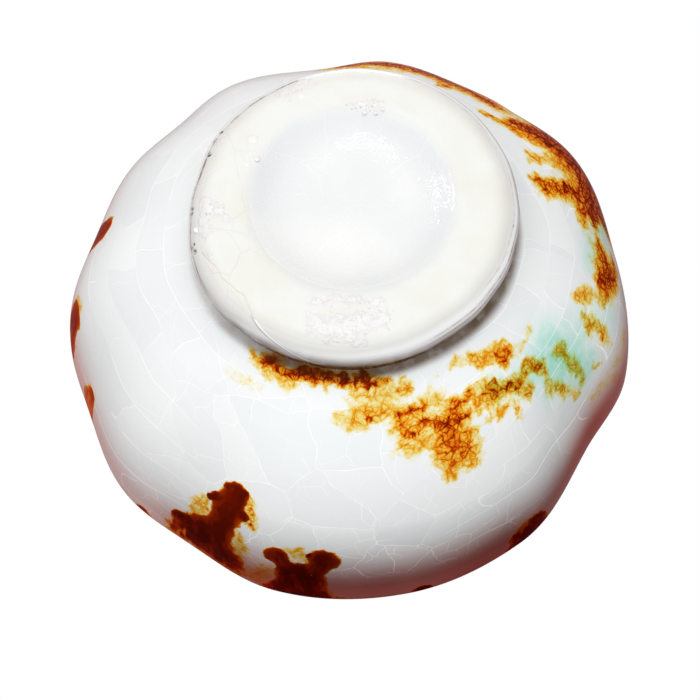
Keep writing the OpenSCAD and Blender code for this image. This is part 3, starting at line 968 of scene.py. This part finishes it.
def makeInnerGlaze():
    c = innerCoat
    inside = insideLine(cup["glazeFloor"], cup["innerRadius"], c["insideSteps"])
    hidden = insideLine(cup["clayFloor"], cup["clayInnerRadius"], c["hiddenSteps"])
    piece = turnSection("innerGlaze", inside + hidden[::-1], False, c["sectorSteps"], shapeInside)
    points, azimuth = paintCoat(piece, c, onInside)
    # painted shade and red tint towards the lip
    nearLip = easeShare((points[:, 2] - c["lipShadeFrom"]) / c["lipShadeOver"])
    keepValues(piece, "lipShade", c["lipShadeDepth"] * nearLip * aroundCup(azimuth, c["lipShade"]))
    keepValues(piece, "lipRed", c["lipRedDepth"] * nearLip * aroundCup(azimuth, c["lipRed"]))
    keepValues(piece, "creaseShadeDirt", np.zeros(len(points)))
    keepFlatMap(piece, points, 1.0 + np.maximum(points[:, 2] - c["spreadFrom"], 0) / c["spreadOver"])
    keepCoatLength(piece, inside, points)
    piece.data.materials.append(makeWallGlaze("innerGlazeFinish", c["look"]))
    return piece


# foot: solid clay with a rounded edge and a shallow well
footClay = {
    "sectorSteps": 10, "height": 6.2, "edge": 3.0, "edgeCentre": 16.65, "edgeEnd": 30.0, "edgeSteps": 28,
    "wellRadius": 12.5, "wellDepth": 1.8, "wellPower": 4, "wellRound": 1.2, "wellSteps": 30, "roundSteps": 8,
    "ringStep": 0.3, "ringSteps": 9,
    "cream": (0.652, 0.667, 0.646, 1), "creamDeep": (0.636, 0.64, 0.596, 1),
    "bluish": (0.61, 0.632, 0.642, 1),
    "cloud": dict(scale=130.0, detail=5.0, rough=0.6, low=0.4, high=0.62),
    "sand": dict(scale=2200.0, rough=0.6, low=0.45, high=0.8, end=0.35),
    "fine": dict(scale=900.0, detail=4.0, rough=0.65),
    # the side that was hottest in the kiln cracked more
    "crackle": dict(Cells=105.0, Width=0.00007, Bend=0.006), "crackColour": (0.5, 0.43, 0.3, 1),
    "hotSide": (0.009, 0.016), "crackHot": 0.3, "crackCool": 0.04,
    # a long crack across the ring, which wanders a little, in millimetres
    "ringCrack": [(18.88, -4.13), (15.81, -8.36), (12.9, -11.76), (11.43, -14.37), (9.86, -16.95)],
    "ringCrackWidth": 0.00011, "ringCrackShow": 0.4, "driftScale": 300.0, "driftDetail": 3.0, "drift": 0.0016,
    # crusts that the kiln left on the ring: strength, then x, y, half width
    "crusts": [
        (1, [(8.2, 16.0, 0.9), (6.2, 17.2, 0.9), (4.7, 18.0, 0.7)]),
        (1, [(17.2, 1.2, 0.7), (17.6, -0.9, 0.9), (17.4, -2.9, 0.7)]),
        (0.9, [(16.1, -0.2, 0.6), (15.5, -1.4, 0.7)]),
        (0.8, [(17.5, -5.7, 0.5), (17.2, -6.4, 0.4)]),
        (0.9, [(17.5, 6.5, 0.6), (16.4, 9.6, 0.6)]),
        (0.9, [(0.6, 13.2, 0.6), (-1.6, 14.0, 0.8), (-3.5, 14.4, 0.6)]),
        (0.9, [(4.6, -12.4, 0.5), (0, -12.2, 0.7), (-3.6, -12.4, 0.5)]),
        (1, [(4.2, -15.4, 1.2), (0, -15.6, 1.5), (-3.6, -14.6, 1.0)]),
        (0.7, [(2.4, -17.3, 0.6), (-1.8, -17.2, 0.6)]),
    ],
    "crumbs": dict(scale=1300.0, detail=4.0, rough=0.7, warp=0.6), "crumbShare": 2.0,
    "crustEdge": (0.5, 0.95), "crustColour": (0.668, 0.664, 0.67, 1), "crustShow": 0.9,
    "dustColour": (0.62, 0.602, 0.605, 1), "dustReach": (0.2, 0.9, 0.0, 0.3),
    "pits": dict(Scale=330.0, Size=0.00016, Share=0.03), "pitColour": (0.2, 0.16, 0.1, 1), "pitShow": 0.6,
    "rough": 0.38, "fineRough": 0.2, "crustRough": -0.1, "gloss": 0.3,
    "fineHeight": 0.35, "crustHeight": 0.5, "crackHeight": -0.4, "pitHeight": -0.8, "relief": 0.00008,
}


# the hollow under the foot, rounded over onto the ring
def footHollow():
    f = footClay
    points = []
    for i in range(f["wellSteps"] + 1):
        r = (f["wellRadius"] - f["wellRound"]) * i / f["wellSteps"]
        points.append((r, f["wellDepth"] * (1 - (r / f["wellRadius"]) ** f["wellPower"])))
    start, corner, end = points[-1], (f["wellRadius"], 0.0), (f["wellRadius"] + f["wellRound"], 0.0)
    for i in range(1, f["roundSteps"] + 1):
        t = i / f["roundSteps"]
        weights = ((1 - t) ** 2, 2 * t * (1 - t), t * t)
        points.append(tuple(sum(w * p[k] for w, p in zip(weights, (start, corner, end))) for k in (0, 1)))
    return points


# a point on the foot's rounded edge, or on a circle inside or outside it
def onFootEdge(angle, radius):
    a = math.radians(angle)
    return footClay["edgeCentre"] + radius * math.cos(a), footClay["edge"] + radius * math.sin(a)


def makeFoot():
    f = footClay
    ringStart = f["wellRadius"] + f["wellRound"]
    ring = [(ringStart + f["ringStep"] * i, 0.0) for i in range(1, f["ringSteps"] + 1)]
    turn = (f["edgeEnd"] + 90.0) / f["edgeSteps"]
    edge = [onFootEdge(-90.0 + turn * i, f["edge"]) for i in range(f["edgeSteps"] + 1)]
    top = [(cup["neckRadius"], f["height"]), (0, f["height"])]
    piece = turnSection("foot", footHollow() + ring + edge + top, False, f["sectorSteps"], shapeFoot)
    flat = raggedPoints(pointsOf(piece)) * (1, 1, 0)
    keepValues(piece, "crust", spreadWash(flat, f["crusts"], onRing))
    piece.data.materials.append(makeFootFinish())
    return piece


def makeFootFinish():
    f = footClay
    material, n = newMaterial("footClayFinish")
    space = n.space()
    place = n.axes(space)
    creamy = n.mix(n.patch(space, **f["cloud"]), f["cream"], f["creamDeep"])
    base = n.mix(n.use(wellEdgeGroup, Vector=space)["Ring"], f["bluish"], creamy)
    base = n.mix(n.patch(space, **f["sand"]), base, f["creamDeep"])
    cracks = n.use(crackleGroup, Vector=space, **f["crackle"])["Lines"]
    line = n.times(cracks, n.scaled(n.ramp(place[0], *f["hotSide"]), f["crackHot"], f["crackCool"]))
    flat = n.vectors("MULTIPLY", n.wander(space, f["driftScale"], f["driftDetail"], f["drift"]), (1, 1, 0))
    ends = [(x * mm, y * mm, 0) for x, y in f["ringCrack"]]
    for start, end in zip(ends, ends[1:]):
        long = n.use(crackLineGroup, Vector=flat, Start=start, End=end, Width=f["ringCrackWidth"])["Mask"]
        line = n.larger(line, n.times(long, f["ringCrackShow"]))
    cracked = n.mix(line, base, f["crackColour"])
    # crusts break into crumbs, with dust round them
    laid = n.attribute("crust")
    crumbs = n.scaled(n.grain(space, **f["crumbs"]), f["crumbShare"], -0.5 * f["crumbShare"])
    crust = n.ramp(n.plus(laid, crumbs), *f["crustEdge"])
    dusted = n.mix(n.ramp(laid, *f["dustReach"]), cracked, f["dustColour"])
    crusted = n.mix(n.times(crust, f["crustShow"]), dusted, f["crustColour"])
    pits = n.use(speckGroup, Vector=space, **f["pits"])["Mask"]
    colour = n.mix(n.times(pits, f["pitShow"]), crusted, f["pitColour"])
    fine = n.grain(space, **f["fine"])
    rough = n.scaled(fine, f["fineRough"], n.scaled(crust, f["crustRough"], f["rough"]))
    raised = n.scaled(crust, f["crustHeight"], n.times(fine, f["fineHeight"]))
    height = n.scaled(pits, f["pitHeight"], n.scaled(line, f["crackHeight"], raised))
    n.finish(colour, rough, height, f["relief"], f["gloss"])
    return material


# foot glaze: the coat on the foot's side, thin at its lower edge
footCoat = {
    "sectorSteps": 10, "steps": 30, "thickness": 0.37, "sunk": 0.04, "backSunk": 0.1,
    "lineAngle": -62.0, "fullAngle": 10.0,
    # the pool in the crease: radius, height, then how far it laps over the wall and the clay
    "pool": [(19.15, 5.6), (18.98, 6.15)], "lap": 0.05,
    # the white is lighter than the same glaze on the wall: painted light on the foot's side
    "white": (0.872, 0.9, 0.915, 1), "whiteHigh": (0.9, 0.925, 0.935, 1),
    "cloud": dict(scale=120.0, detail=4.0, rough=0.6),
    "crackle": dict(Cells=110.0, Width=0.0001, Bend=0.004),
    "crackColour": (0.85, 0.86, 0.86, 1), "crackShow": 0.12,
    # iron that ran into the crease at the front: height, then azimuth
    "ironFrom": 4.6, "ironOver": 1.2, "ironFront": 276.0, "ironHalf": 22.0, "ironFade": 14.0,
    "creaseIron": dict(scale=420.0, detail=4.0, rough=0.65, low=0.35, high=0.65, end=5.5),
    # the tea-coloured line where the coat starts, cream below it: azimuth, value
    "teaColour": (0.2, 0.13, 0.06, 1), "creamEdge": (-0.0004, 0.0004), "teaCore": 0.4,
    "broken": dict(scale=330.0, detail=5.0, rough=0.8, low=0.4, high=0.62, start=0.25),
    "teaHeight": [
        (0, 1.85), (20, 1.45), (45, 1.05), (90, 0.8), (135, 1.0), (180, 1.3), (225, 1.1), (300, 1.6),
        (330, 2.5), (345, 2.15), (360, 1.85),
    ],
    "teaDepth": [
        (0, 0.8), (20, 0.95), (50, 0.9), (80, 0.6), (105, 0.35), (150, 0.35), (205, 0.35), (225, 0), (318, 0),
        (340, 0.6), (360, 0.8),
    ],
    "teaHalf": [
        (0, 0.3), (45, 0.24), (100, 0.18), (150, 0.14), (210, 0.14), (300, 0.2), (345, 0.3), (360, 0.3),
    ],
    # dark lines round the side above it: height over it, half width, share, then azimuth, share
    "darkLines": [(0.75, 0.18, 0.85), (1.4, 0.24, 1.0), (2.35, 0.45, 0.5)],
    "darkLineColour": (0.22, 0.15, 0.09, 1),
    "darkLineShare": [
        (0, 0.4), (20, 0.2), (60, 0), (120, 0.1), (150, 0.4), (180, 0.8), (210, 0.9), (230, 0.5), (250, 0),
        (305, 0), (325, 0.3), (345, 0.55), (360, 0.4),
    ],
    # painted shade and dirt above the belly, darker towards the crease, lifted in a band across it: azimuth,
    # value
    "shadeDirtColour": (0.078, 0.038, 0.018, 1),
    "shadeDirtPatch": dict(scale=500.0, detail=3.0, low=0.3, high=0.6, start=0.75),
    "shadeDirtHeight": [
        (0, 2.4), (45, 1.4), (90, 1.1), (135, 0.9), (160, 1.2), (190, 1.7), (215, 2.0), (240, 1.75),
        (270, 1.3), (300, 1.0), (325, 1.5), (345, 2.2), (360, 2.4),
    ],
    "shadeDirtRise": [
        (0, 1.4), (180, 1.6), (205, 1.8), (235, 2.4), (255, 2.6), (300, 2.8), (325, 2.5), (345, 1.5),
        (360, 1.4),
    ],
    "shadeDirtShare": [
        (0, 0.25), (60, 0.05), (110, 0.1), (150, 0.35), (180, 0.6), (200, 0.75), (215, 0.9), (270, 0.9),
        (310, 0.85), (335, 0.6), (360, 0.3),
    ],
    "sparedSide": [
        (0, 0.8), (120, 0.8), (210, 0.8), (235, 0.3), (255, 0), (295, 0), (315, 0.2), (340, 0.7), (360, 0.8),
    ],
    "sparedFrom": 3.4, "sparedRise": 0.9, "sparedTo": 5.3, "sparedFall": 0.5,
    # painted highlight and painted shade of a fold in the glaze that climbs from the ring to the crease:
    # azimuth, height, then azimuth, share
    "foldHeight": [
        (0, 0), (276, 4.4), (283, 3.6), (288.4, 2.9), (294.6, 2.25), (301.1, 1.6), (309.4, 0.76),
        (318.8, 0.1), (360, 0),
    ],
    "foldShare": [(0, 0), (276, 0), (284, 0.7), (306, 0.7), (314, 0.15), (360, 0)],
    "foldHalf": 0.12, "foldCore": 0.2,
    # the fold's painted highlight and the painted shade over it: place in half widths, colour
    "foldLitAndShadedEdges": [(-0.8, (0.95, 0.96, 0.97, 1)), (0.6, (0.34, 0.34, 0.35, 1))],
    # specks of ash that burnt on: x, y, z, half width
    "ash": [
        (19.04, 0.62, 1.68, 0.5), (19.08, 0.0, 1.73, 0.5), (18.86, -4.62, 1.97, 0.5),
        (18.72, -4.28, 1.55, 0.4), (18.57, -5.19, 1.59, 0.5), (17.2, 7.7, 1.13, 0.5),
        (16.53, 9.64, 1.34, 0.6), (15.82, 10.82, 1.26, 0.5), (-19.33, -1.61, 1.45, 0.25),
    ],
    "ashColour": (0.06, 0.04, 0.025, 1), "ashCore": 0.3,
    "ashGrain": dict(scale=2400.0, detail=3.0, rough=0.7, low=0.42, high=0.56),
    "gloss": 0.3, "dullLoss": -0.29, "rough": 0.15, "cloudRough": 0.15,
    "swell": 0.3, "swellScale": 300.0, "crackHeight": -0.05, "relief": 0.0001,
}


def makeFootGlaze():
    f, c = footClay, footCoat
    coat, back = [], []
    for i in range(c["steps"] + 1):
        angle = c["lineAngle"] + (f["edgeEnd"] - c["lineAngle"]) * i / c["steps"]
        share = float(easeShare((angle - c["lineAngle"]) / (c["fullAngle"] - c["lineAngle"])))
        coat.append(onFootEdge(angle, f["edge"] - c["sunk"] + c["thickness"] * share))
        back.append(onFootEdge(angle, f["edge"] - c["backSunk"]))
    top = c["pool"] + [(cup["glazeNeckRadius"] + c["lap"], cup["baseHeight"] + c["lap"]),
                       (cup["neckRadius"], cup["baseHeight"]), (cup["neckRadius"] - c["lap"], f["height"])]
    piece = turnSection("footGlaze", coat + top + back[::-1], True, c["sectorSteps"], shapeFoot)
    points = pointsOf(piece)
    azimuth, height = polar(points)[0], points[:, 2]
    toFront = np.abs((azimuth - c["ironFront"] + 180.0) % 360.0 - 180.0)
    pooled = np.clip((height - c["ironFrom"]) / c["ironOver"], 0, 1)
    keepValues(piece, "creaseIron", pooled * (1.0 - easeShare((toFront - c["ironHalf"]) / c["ironFade"])))
    scales = {"teaHeight": mm, "teaDepth": 1.0, "teaHalf": mm, "darkLineShare": 1.0, "foldShare": 1.0}
    for name, scale in scales.items():
        keepValues(piece, name, aroundCup(azimuth, c[name]) * scale)
    keepValues(piece, "foldHeight", np.interp(np.mod(azimuth, 360.0), *zip(*c["foldHeight"])) * mm)
    # painted shade and dirt towards the crease, lifted in a band on the side
    darkened = easeShare((height - aroundCup(azimuth, c["shadeDirtHeight"])) / aroundCup(azimuth, c["shadeDirtRise"]))
    spared = easeShare((height - c["sparedFrom"]) / c["sparedRise"])
    spared = spared * (1.0 - easeShare((height - c["sparedTo"]) / c["sparedFall"]))
    darkened = darkened * (1.0 - spared * aroundCup(azimuth, c["sparedSide"]))
    keepValues(piece, "creaseShadeDirt", darkened * aroundCup(azimuth, c["shadeDirtShare"]))
    piece.data.materials.append(makeFootGlazeFinish())
    return piece


def makeFootGlazeFinish():
    c = footCoat
    material, n = newMaterial("footGlazeFinish")
    space = n.space()
    place = n.axes(space)
    cloud = n.grain(space, **c["cloud"])
    white = n.mix(cloud, c["white"], c["whiteHigh"])
    # cream where the coat is thin, and a broken tea-coloured line where it starts
    above = n.minus(place[2], n.attribute("teaHeight"))
    creamy = n.mix(n.ramp(above, *c["creamEdge"]), footClay["cream"], white)
    broken = n.patch(space, **c["broken"])
    line = n.line(n.size(above), n.attribute("teaHalf"), c["teaCore"])
    tea = n.times(line, broken, n.attribute("teaDepth"))
    darkLined = 0.0
    for lift, half, share in c["darkLines"]:
        gap = n.size(n.minus(above, lift * mm))
        darkLined = n.larger(darkLined, n.line(gap, half * mm, share=share))
    darkLined = n.times(darkLined, broken, n.attribute("darkLineShare"))
    lined = n.mix(darkLined, n.mix(tea, creamy, c["teaColour"]), c["darkLineColour"])
    iron = n.times(n.attribute("creaseIron"), n.patch(space, **c["creaseIron"]))
    stained = n.use(stainGroup, Glaze=lined, Iron=iron, Copper=0.0)["Color"]
    # painted shade and dirt towards the crease
    shadeDirt = n.times(n.attribute("creaseShadeDirt"), n.patch(space, **c["shadeDirtPatch"]))
    darkened = n.mix(shadeDirt, stained, c["shadeDirtColour"])
    cracks = n.use(crackleGroup, Vector=space, **c["crackle"])["Lines"]
    colour = n.mix(n.times(cracks, c["crackShow"]), darkened, c["crackColour"])
    # painted highlight and painted shade along the fold
    overFold = n.over(n.minus(place[2], n.attribute("foldHeight")), c["foldHalf"] * mm)
    for centre, tint in c["foldLitAndShadedEdges"]:
        edge = n.ramp(n.size(n.minus(overFold, centre)), c["foldCore"], 1.0, 1.0, 0.0)
        colour = n.mix(n.times(edge, n.attribute("foldShare")), colour, tint)
    ash = 0.0
    for x, y, z, half in c["ash"]:
        gap = n.vectors("DISTANCE", space, (x * mm, y * mm, z * mm))
        ash = n.larger(ash, n.ramp(gap, c["ashCore"] * half * mm, half * mm, 1.0, 0.0))
    colour = n.mix(n.times(ash, n.patch(space, **c["ashGrain"])), colour, c["ashColour"])
    dull = n.maths("ADD", n.plus(shadeDirt, darkLined), tea, clamp=True)
    gloss = n.scaled(dull, c["dullLoss"], c["gloss"])
    rough = n.scaled(cloud, c["cloudRough"], c["rough"])
    height = n.scaled(cracks, c["crackHeight"], n.times(n.grain(space, c["swellScale"]), c["swell"]))
    n.finish(colour, rough, height, c["relief"], gloss)
    return material


# well glaze: bluish, pooled under the foot
wellPool = {
    "sectorSteps": 8, "steps": 48, "backStep": 4, "radius": 12.3, "lap": 0.6, "sunk": 0.5, "backSunk": 0.5,
    "bluish": (0.625, 0.647, 0.652, 1), "milky": (0.672, 0.685, 0.672, 1),
    "deepBlue": (0.565, 0.59, 0.603, 1),
    "cloud": dict(scale=70.0, detail=3.0, low=0.4, high=0.65),
    # the pool is deeper, so bluer, towards its far rim: radius, then y with the share at each end
    "rim": (0.006, 0.0112), "farSide": (-0.006, 0.007, 0.1, 0.85),
    "crackle": dict(Cells=75.0, Width=0.00008, Bend=0.006),
    "crackColour": (0.8, 0.8, 0.8, 1), "crackShow": 0.13,
    "pits": dict(Scale=260.0, Size=0.00016, Share=0.03), "pitShow": 0.6,
    "fine": dict(scale=2600.0, rough=0.6), "rough": 0.02, "fineRough": 0.04, "gloss": 0.5,
    "swell": 0.4, "swellScale": 160.0, "fineHeight": 0.45, "crackHeight": -0.05, "relief": 0.00008,
}


def makeWellGlaze():
    w = wellPool
    hollow = np.array(footHollow())
    reach = np.linspace(0.0, w["radius"] + w["lap"], w["steps"])
    pooled = w["sunk"] * (1.0 - (reach / w["radius"]) ** 2)
    face = list(zip(reach, np.interp(reach, hollow[:, 0], hollow[:, 1]) - pooled))
    back = [(r, z + w["sunk"] + w["backSunk"]) for r, z in face[::-w["backStep"]]]
    section = face + back + [(0, back[-1][1])]
    piece = turnSection("wellGlaze", section, False, w["sectorSteps"], shapeFoot)
    piece.data.materials.append(makeWellFinish())
    return piece


def makeWellFinish():
    w, f = wellPool, footClay
    material, n = newMaterial("wellGlazeFinish")
    space = n.space()
    place = n.axes(space)
    pool = n.mix(n.patch(space, **w["cloud"]), w["bluish"], w["milky"])
    flat = n.put("CombineXYZ", {0: place[0], 1: n.minus(place[1], cup["wellShift"] * mm)})[0]
    rim = n.ramp(n.vectors("LENGTH", flat), *w["rim"])
    pool = n.mix(n.times(rim, n.ramp(place[1], *w["farSide"])), pool, w["deepBlue"])
    base = n.mix(n.use(wellEdgeGroup, Vector=space)["Ring"], pool, f["cream"])
    cracks = n.use(crackleGroup, Vector=space, **w["crackle"])["Lines"]
    cracked = n.mix(n.times(cracks, w["crackShow"]), base, w["crackColour"])
    pits = n.use(speckGroup, Vector=space, **w["pits"])["Mask"]
    colour = n.mix(n.times(pits, w["pitShow"]), cracked, f["pitColour"])
    fine = n.grain(space, **w["fine"])
    rough = n.scaled(fine, w["fineRough"], w["rough"])
    swell = n.times(n.grain(space, w["swellScale"]), w["swell"])
    height = n.scaled(fine, w["fineHeight"], n.scaled(cracks, w["crackHeight"], swell))
    n.finish(colour, rough, height, w["relief"], w["gloss"])
    return material


# blisters and kiln grit on the face under the foot
footMarks = {
    # x, y, radius
    "blisters": [
        (11.96, 9.36, 0.62), (11.45, 6.61, 0.34), (12.6, 5.96, 0.36), (18.5, -2.6, 0.4), (-1.54, 13.1, 0.24),
        (-2.87, 13.05, 0.2), (-3.71, 13.53, 0.2), (6.1, 15.4, 0.5),
    ],
    "blisterFlat": 0.12, "blisterRounds": 3, "lift": 0.05,
    # middle, spread, count
    "gritAreas": [
        ((0.2, -14.6), (4.6, 2.4), 80), ((-1.5, 14), (2.2, 0.7), 14), ((6.4, 16.2), (2.2, 0.6), 12),
        ((16.4, -1.0), (1.2, 2.8), 18), ((-2.4, 9.3), (1.9, 0.8), 60), ((-10.3, 1.6), (0.9, 1.2), 26),
    ],
    "gritSeed": 7, "gritSmall": 0.06, "gritLarge": 0.15, "gritSpread": 0.5, "gritReach": 18.2,
    "gritNarrow": 0.4, "gritFlat": 0.18, "gritRounds": 1, "gritRough": 0.3, "gritRoughUp": 0.2,
    "low": (0.63, 0.64, 0.615, 1), "high": (0.68, 0.685, 0.67, 1), "cloud": dict(scale=500.0, detail=3.0),
    "rough": (0.3, 0.7, 0.12, 0.3), "relief": 0.00004,
}


def makeFootMarks():
    m = footMarks
    bm = bmesh.new()
    for x, y, radius in m["blisters"]:
        over = max(math.hypot(x, y) - footClay["edgeCentre"], 0.0)
        rise = footClay["edge"] - math.sqrt(footClay["edge"] ** 2 - over * over) + m["lift"]
        place = Matrix.Translation((x * mm, y * mm, rise * mm)) @ Matrix.Diagonal((1, 1, m["blisterFlat"], 1))
        bmesh.ops.create_icosphere(bm, subdivisions=m["blisterRounds"], radius=radius * mm, matrix=place)
    draw = random.Random(m["gritSeed"])
    hollow = np.array(footHollow())
    for middle, spread, count in m["gritAreas"]:
        for _ in range(count):
            spot = [at + draw.gauss(0, m["gritSpread"]) * reach for at, reach in zip(middle, spread)]
            if math.hypot(*spot) > m["gritReach"]:
                continue
            size = draw.uniform(m["gritSmall"], m["gritLarge"]) * mm
            turn = Matrix.Rotation(draw.uniform(0, math.tau), 4, "Z")
            squash = Matrix.Diagonal((1, draw.uniform(m["gritNarrow"], 1), m["gritFlat"], 1))
            reach = math.hypot(spot[0], spot[1] - cup["wellShift"])
            rise = np.interp(reach, hollow[:, 0], hollow[:, 1]) + m["lift"]
            place = Matrix.Translation((spot[0] * mm, spot[1] * mm, rise * mm)) @ turn @ squash
            crumb = bmesh.ops.create_icosphere(bm, subdivisions=m["gritRounds"], radius=size, matrix=place)
            for vert in crumb["verts"]:
                push = [draw.uniform(-share, share) for share in (1, 1, m["gritRoughUp"])]
                vert.co += Vector(push) * size * m["gritRough"]
    piece = newPiece("footMarks", bm)
    material, n = newMaterial("blisterFinish")
    cloud = n.grain(n.space(), **m["cloud"])
    n.finish(n.mix(cloud, m["low"], m["high"]), n.ramp(cloud, *m["rough"]), cloud, m["relief"])
    piece.data.materials.append(material)
    return piece


# clay under the glaze
bareClay = {
    "nodes": {
        "clay_bowl": {"name": "bowlClayFinish", "light": (0.72, 0.65, 0.53, 1), "dark": (0.58, 0.5, 0.38, 1)},
        "luting_slip": {"name": "slipFinish", "light": (0.6, 0.52, 0.41, 1), "dark": (0.48, 0.4, 0.3, 1)},
    },
    "sand": dict(scale=800.0, detail=5.0, rough=0.7), "rough": (0.2, 0.8, 0.7, 0.95), "relief": 0.0001,
    "specks": dict(Scale=700.0, Size=0.0003, Share=0.12), "speckShow": 0.7,
    "speckColour": (0.2, 0.15, 0.1, 1),
}


def dressClay(node, look):
    c = bareClay
    material, n = newMaterial(look["name"])
    space = n.space()
    sand = n.grain(space, **c["sand"])
    specks = n.use(speckGroup, Vector=space, **c["specks"])["Mask"]
    body = n.mix(sand, look["light"], look["dark"])
    colour = n.mix(n.times(specks, c["speckShow"]), body, c["speckColour"])
    n.finish(colour, n.ramp(sand, *c["rough"]), sand, c["relief"])
    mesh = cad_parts[node].data
    mesh.materials.clear()
    mesh.materials.append(material)
    print("dressed", node)


pieces = [
    (makeOuterGlaze(), "outer_glaze", "outer_glaze"),
    (makeInnerGlaze(), "inner_glaze", "inner_glaze"),
    (makeFoot(), "foot", "foot_clay"),
    (makeFootGlaze(), "foot_glaze", "foot_glaze"),
    (makeWellGlaze(), "well_glaze", "well_glaze"),
    (makeFootMarks(), None, "foot_clay"),
]
for piece, node, slotName in pieces:
    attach(piece, "root")
    if node:
        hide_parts(node)
for node, look in bareClay["nodes"].items():
    dressClay(node, look)


# studio: a pale floor that shows only from above, soft light and the camera
studio = {
    "floorRadius": 0.7, "floorDrop": 0.0003, "floorSides": 96, "floorFade": (0.15, 0.65), "floorRough": 0.9,
    "floorColour": (0.80, 0.79, 0.77, 1), "fibreColour": (0.7, 0.69, 0.67, 1),
    "fibre": dict(scale=400.0, detail=3.0, low=0.3, high=0.7, end=0.12),
    "dim": (0.1, 0.05, 0.046, 1), "backdrop": (1, 1, 1, 1),
    # direction, spread and colour of the large soft lights
    "glows": [
        ((0.0, -0.15, -0.98), 2.0, (2.52, 2.58, 2.58, 1)), ((0.25, 0.93, 0.25), 1.5, (0.46, 0.43, 0.43, 1)),
        ((1.0, -0.1, 0.1), 1.5, (0.24, 0.23, 0.23, 1)),
    ],
    "sunStrength": 2.6, "sunAngle": 24.0, "sunTilt": (-6.0, 8.0, 0.0),
    # small lamps that show only in gloss, two in the well and one on the lip: place, size, power
    "lamps": [
        ((0.025, 0.134, -0.48), 0.018, 0.07), ((0.184, 0.219, -0.405), 0.018, 0.11),
        ((0.0, 0.5, 0.07), 0.2, 0.9),
    ],
    "cameraPlace": (0.0, -0.15794, -0.30351), "cameraAim": (0.0004, 0.41696, 0.90893),
    "cameraUp": (0.0043, 0.9089, -0.4170), "lens": 146.9, "sensor": 36.0, "nearest": 0.01, "farthest": 10.0,
}


def makeFloor():
    bm = bmesh.new()
    bmesh.ops.create_circle(bm, cap_ends=True, segments=studio["floorSides"], radius=studio["floorRadius"],
                            matrix=Matrix.Translation((0, 0, -studio["floorDrop"])))
    floor = newPiece("floor", bm)
    for flag in ("visible_diffuse", "visible_glossy", "visible_transmission", "visible_shadow"):
        setattr(floor, flag, False)
    material, n = newMaterial("floorPaper")
    space = n.space()
    colour = n.mix(n.patch(space, **studio["fibre"]), studio["floorColour"], studio["fibreColour"])
    paper = n.put("BsdfPrincipled", {"Base Color": colour, "Roughness": studio["floorRough"]})[0]
    clear = n.put("BsdfTransparent")[0]
    far = n.ramp(n.vectors("LENGTH", space), *studio["floorFade"])
    hidden = n.larger(far, n.put("NewGeometry")["Backfacing"])
    n.put("OutputMaterial", {"Surface": n.put("MixShader", {0: hidden, 1: paper, 2: clear})[0]})
    floor.data.materials.append(material)


def makeLight():
    world = bpy.data.worlds.new("studioLight")
    bpy.context.scene.world = world
    world.use_nodes = True
    n = nodeBench(world.node_tree)
    direction = n.put("TexCoord")["Generated"]
    glow = studio["dim"]
    for axis, spread, colour in studio["glows"]:
        facing = n.vectors("DOT_PRODUCT", direction, Vector(axis).normalized())
        glow = n.mix(n.maths("POWER", n.larger(facing, 0.0), spread), glow, colour, "ADD")
    lit, plain = (n.put("Background", {"Color": colour})[0] for colour in (glow, studio["backdrop"]))
    seen = n.put("LightPath")["Is Camera Ray"]
    n.put("OutputWorld", {"Surface": n.put("MixShader", {0: seen, 1: lit, 2: plain})[0]})
    sun = bpy.data.lights.new("overhead", "SUN")
    sun.energy, sun.angle = studio["sunStrength"], math.radians(studio["sunAngle"])
    overhead = bpy.data.objects.new("overhead", sun)
    overhead.rotation_euler = [math.radians(tilt) for tilt in studio["sunTilt"]]
    overhead.visible_glossy = False
    bpy.context.collection.objects.link(overhead)
    for i, (place, size, power) in enumerate(studio["lamps"]):
        lamp = bpy.data.lights.new("glossLamp%d" % i, "AREA")
        lamp.shape, lamp.size, lamp.energy = "DISK", size, power
        holder = bpy.data.objects.new("glossLamp%d" % i, lamp)
        holder.location = place
        holder.rotation_euler = (-Vector(place)).to_track_quat("-Z", "Y").to_euler()
        holder.visible_camera = holder.visible_diffuse = False
        bpy.context.collection.objects.link(holder)


def makeCamera():
    lens = bpy.data.cameras.new("photoCamera")
    lens.lens, lens.sensor_width = studio["lens"], studio["sensor"]
    lens.clip_start, lens.clip_end = studio["nearest"], studio["farthest"]
    camera = bpy.data.objects.new("photoCamera", lens)
    ahead = Vector(studio["cameraAim"]).normalized()
    right = ahead.cross(Vector(studio["cameraUp"])).normalized()
    turn = Matrix((right, right.cross(ahead), -ahead)).transposed()
    camera.matrix_world = Matrix.Translation(studio["cameraPlace"]) @ turn.to_4x4()
    bpy.context.collection.objects.link(camera)
    bpy.context.scene.camera = camera


makeFloor()
makeLight()
makeCamera()
bpy.context.scene.view_settings.view_transform = "Standard"
print("set the studio")
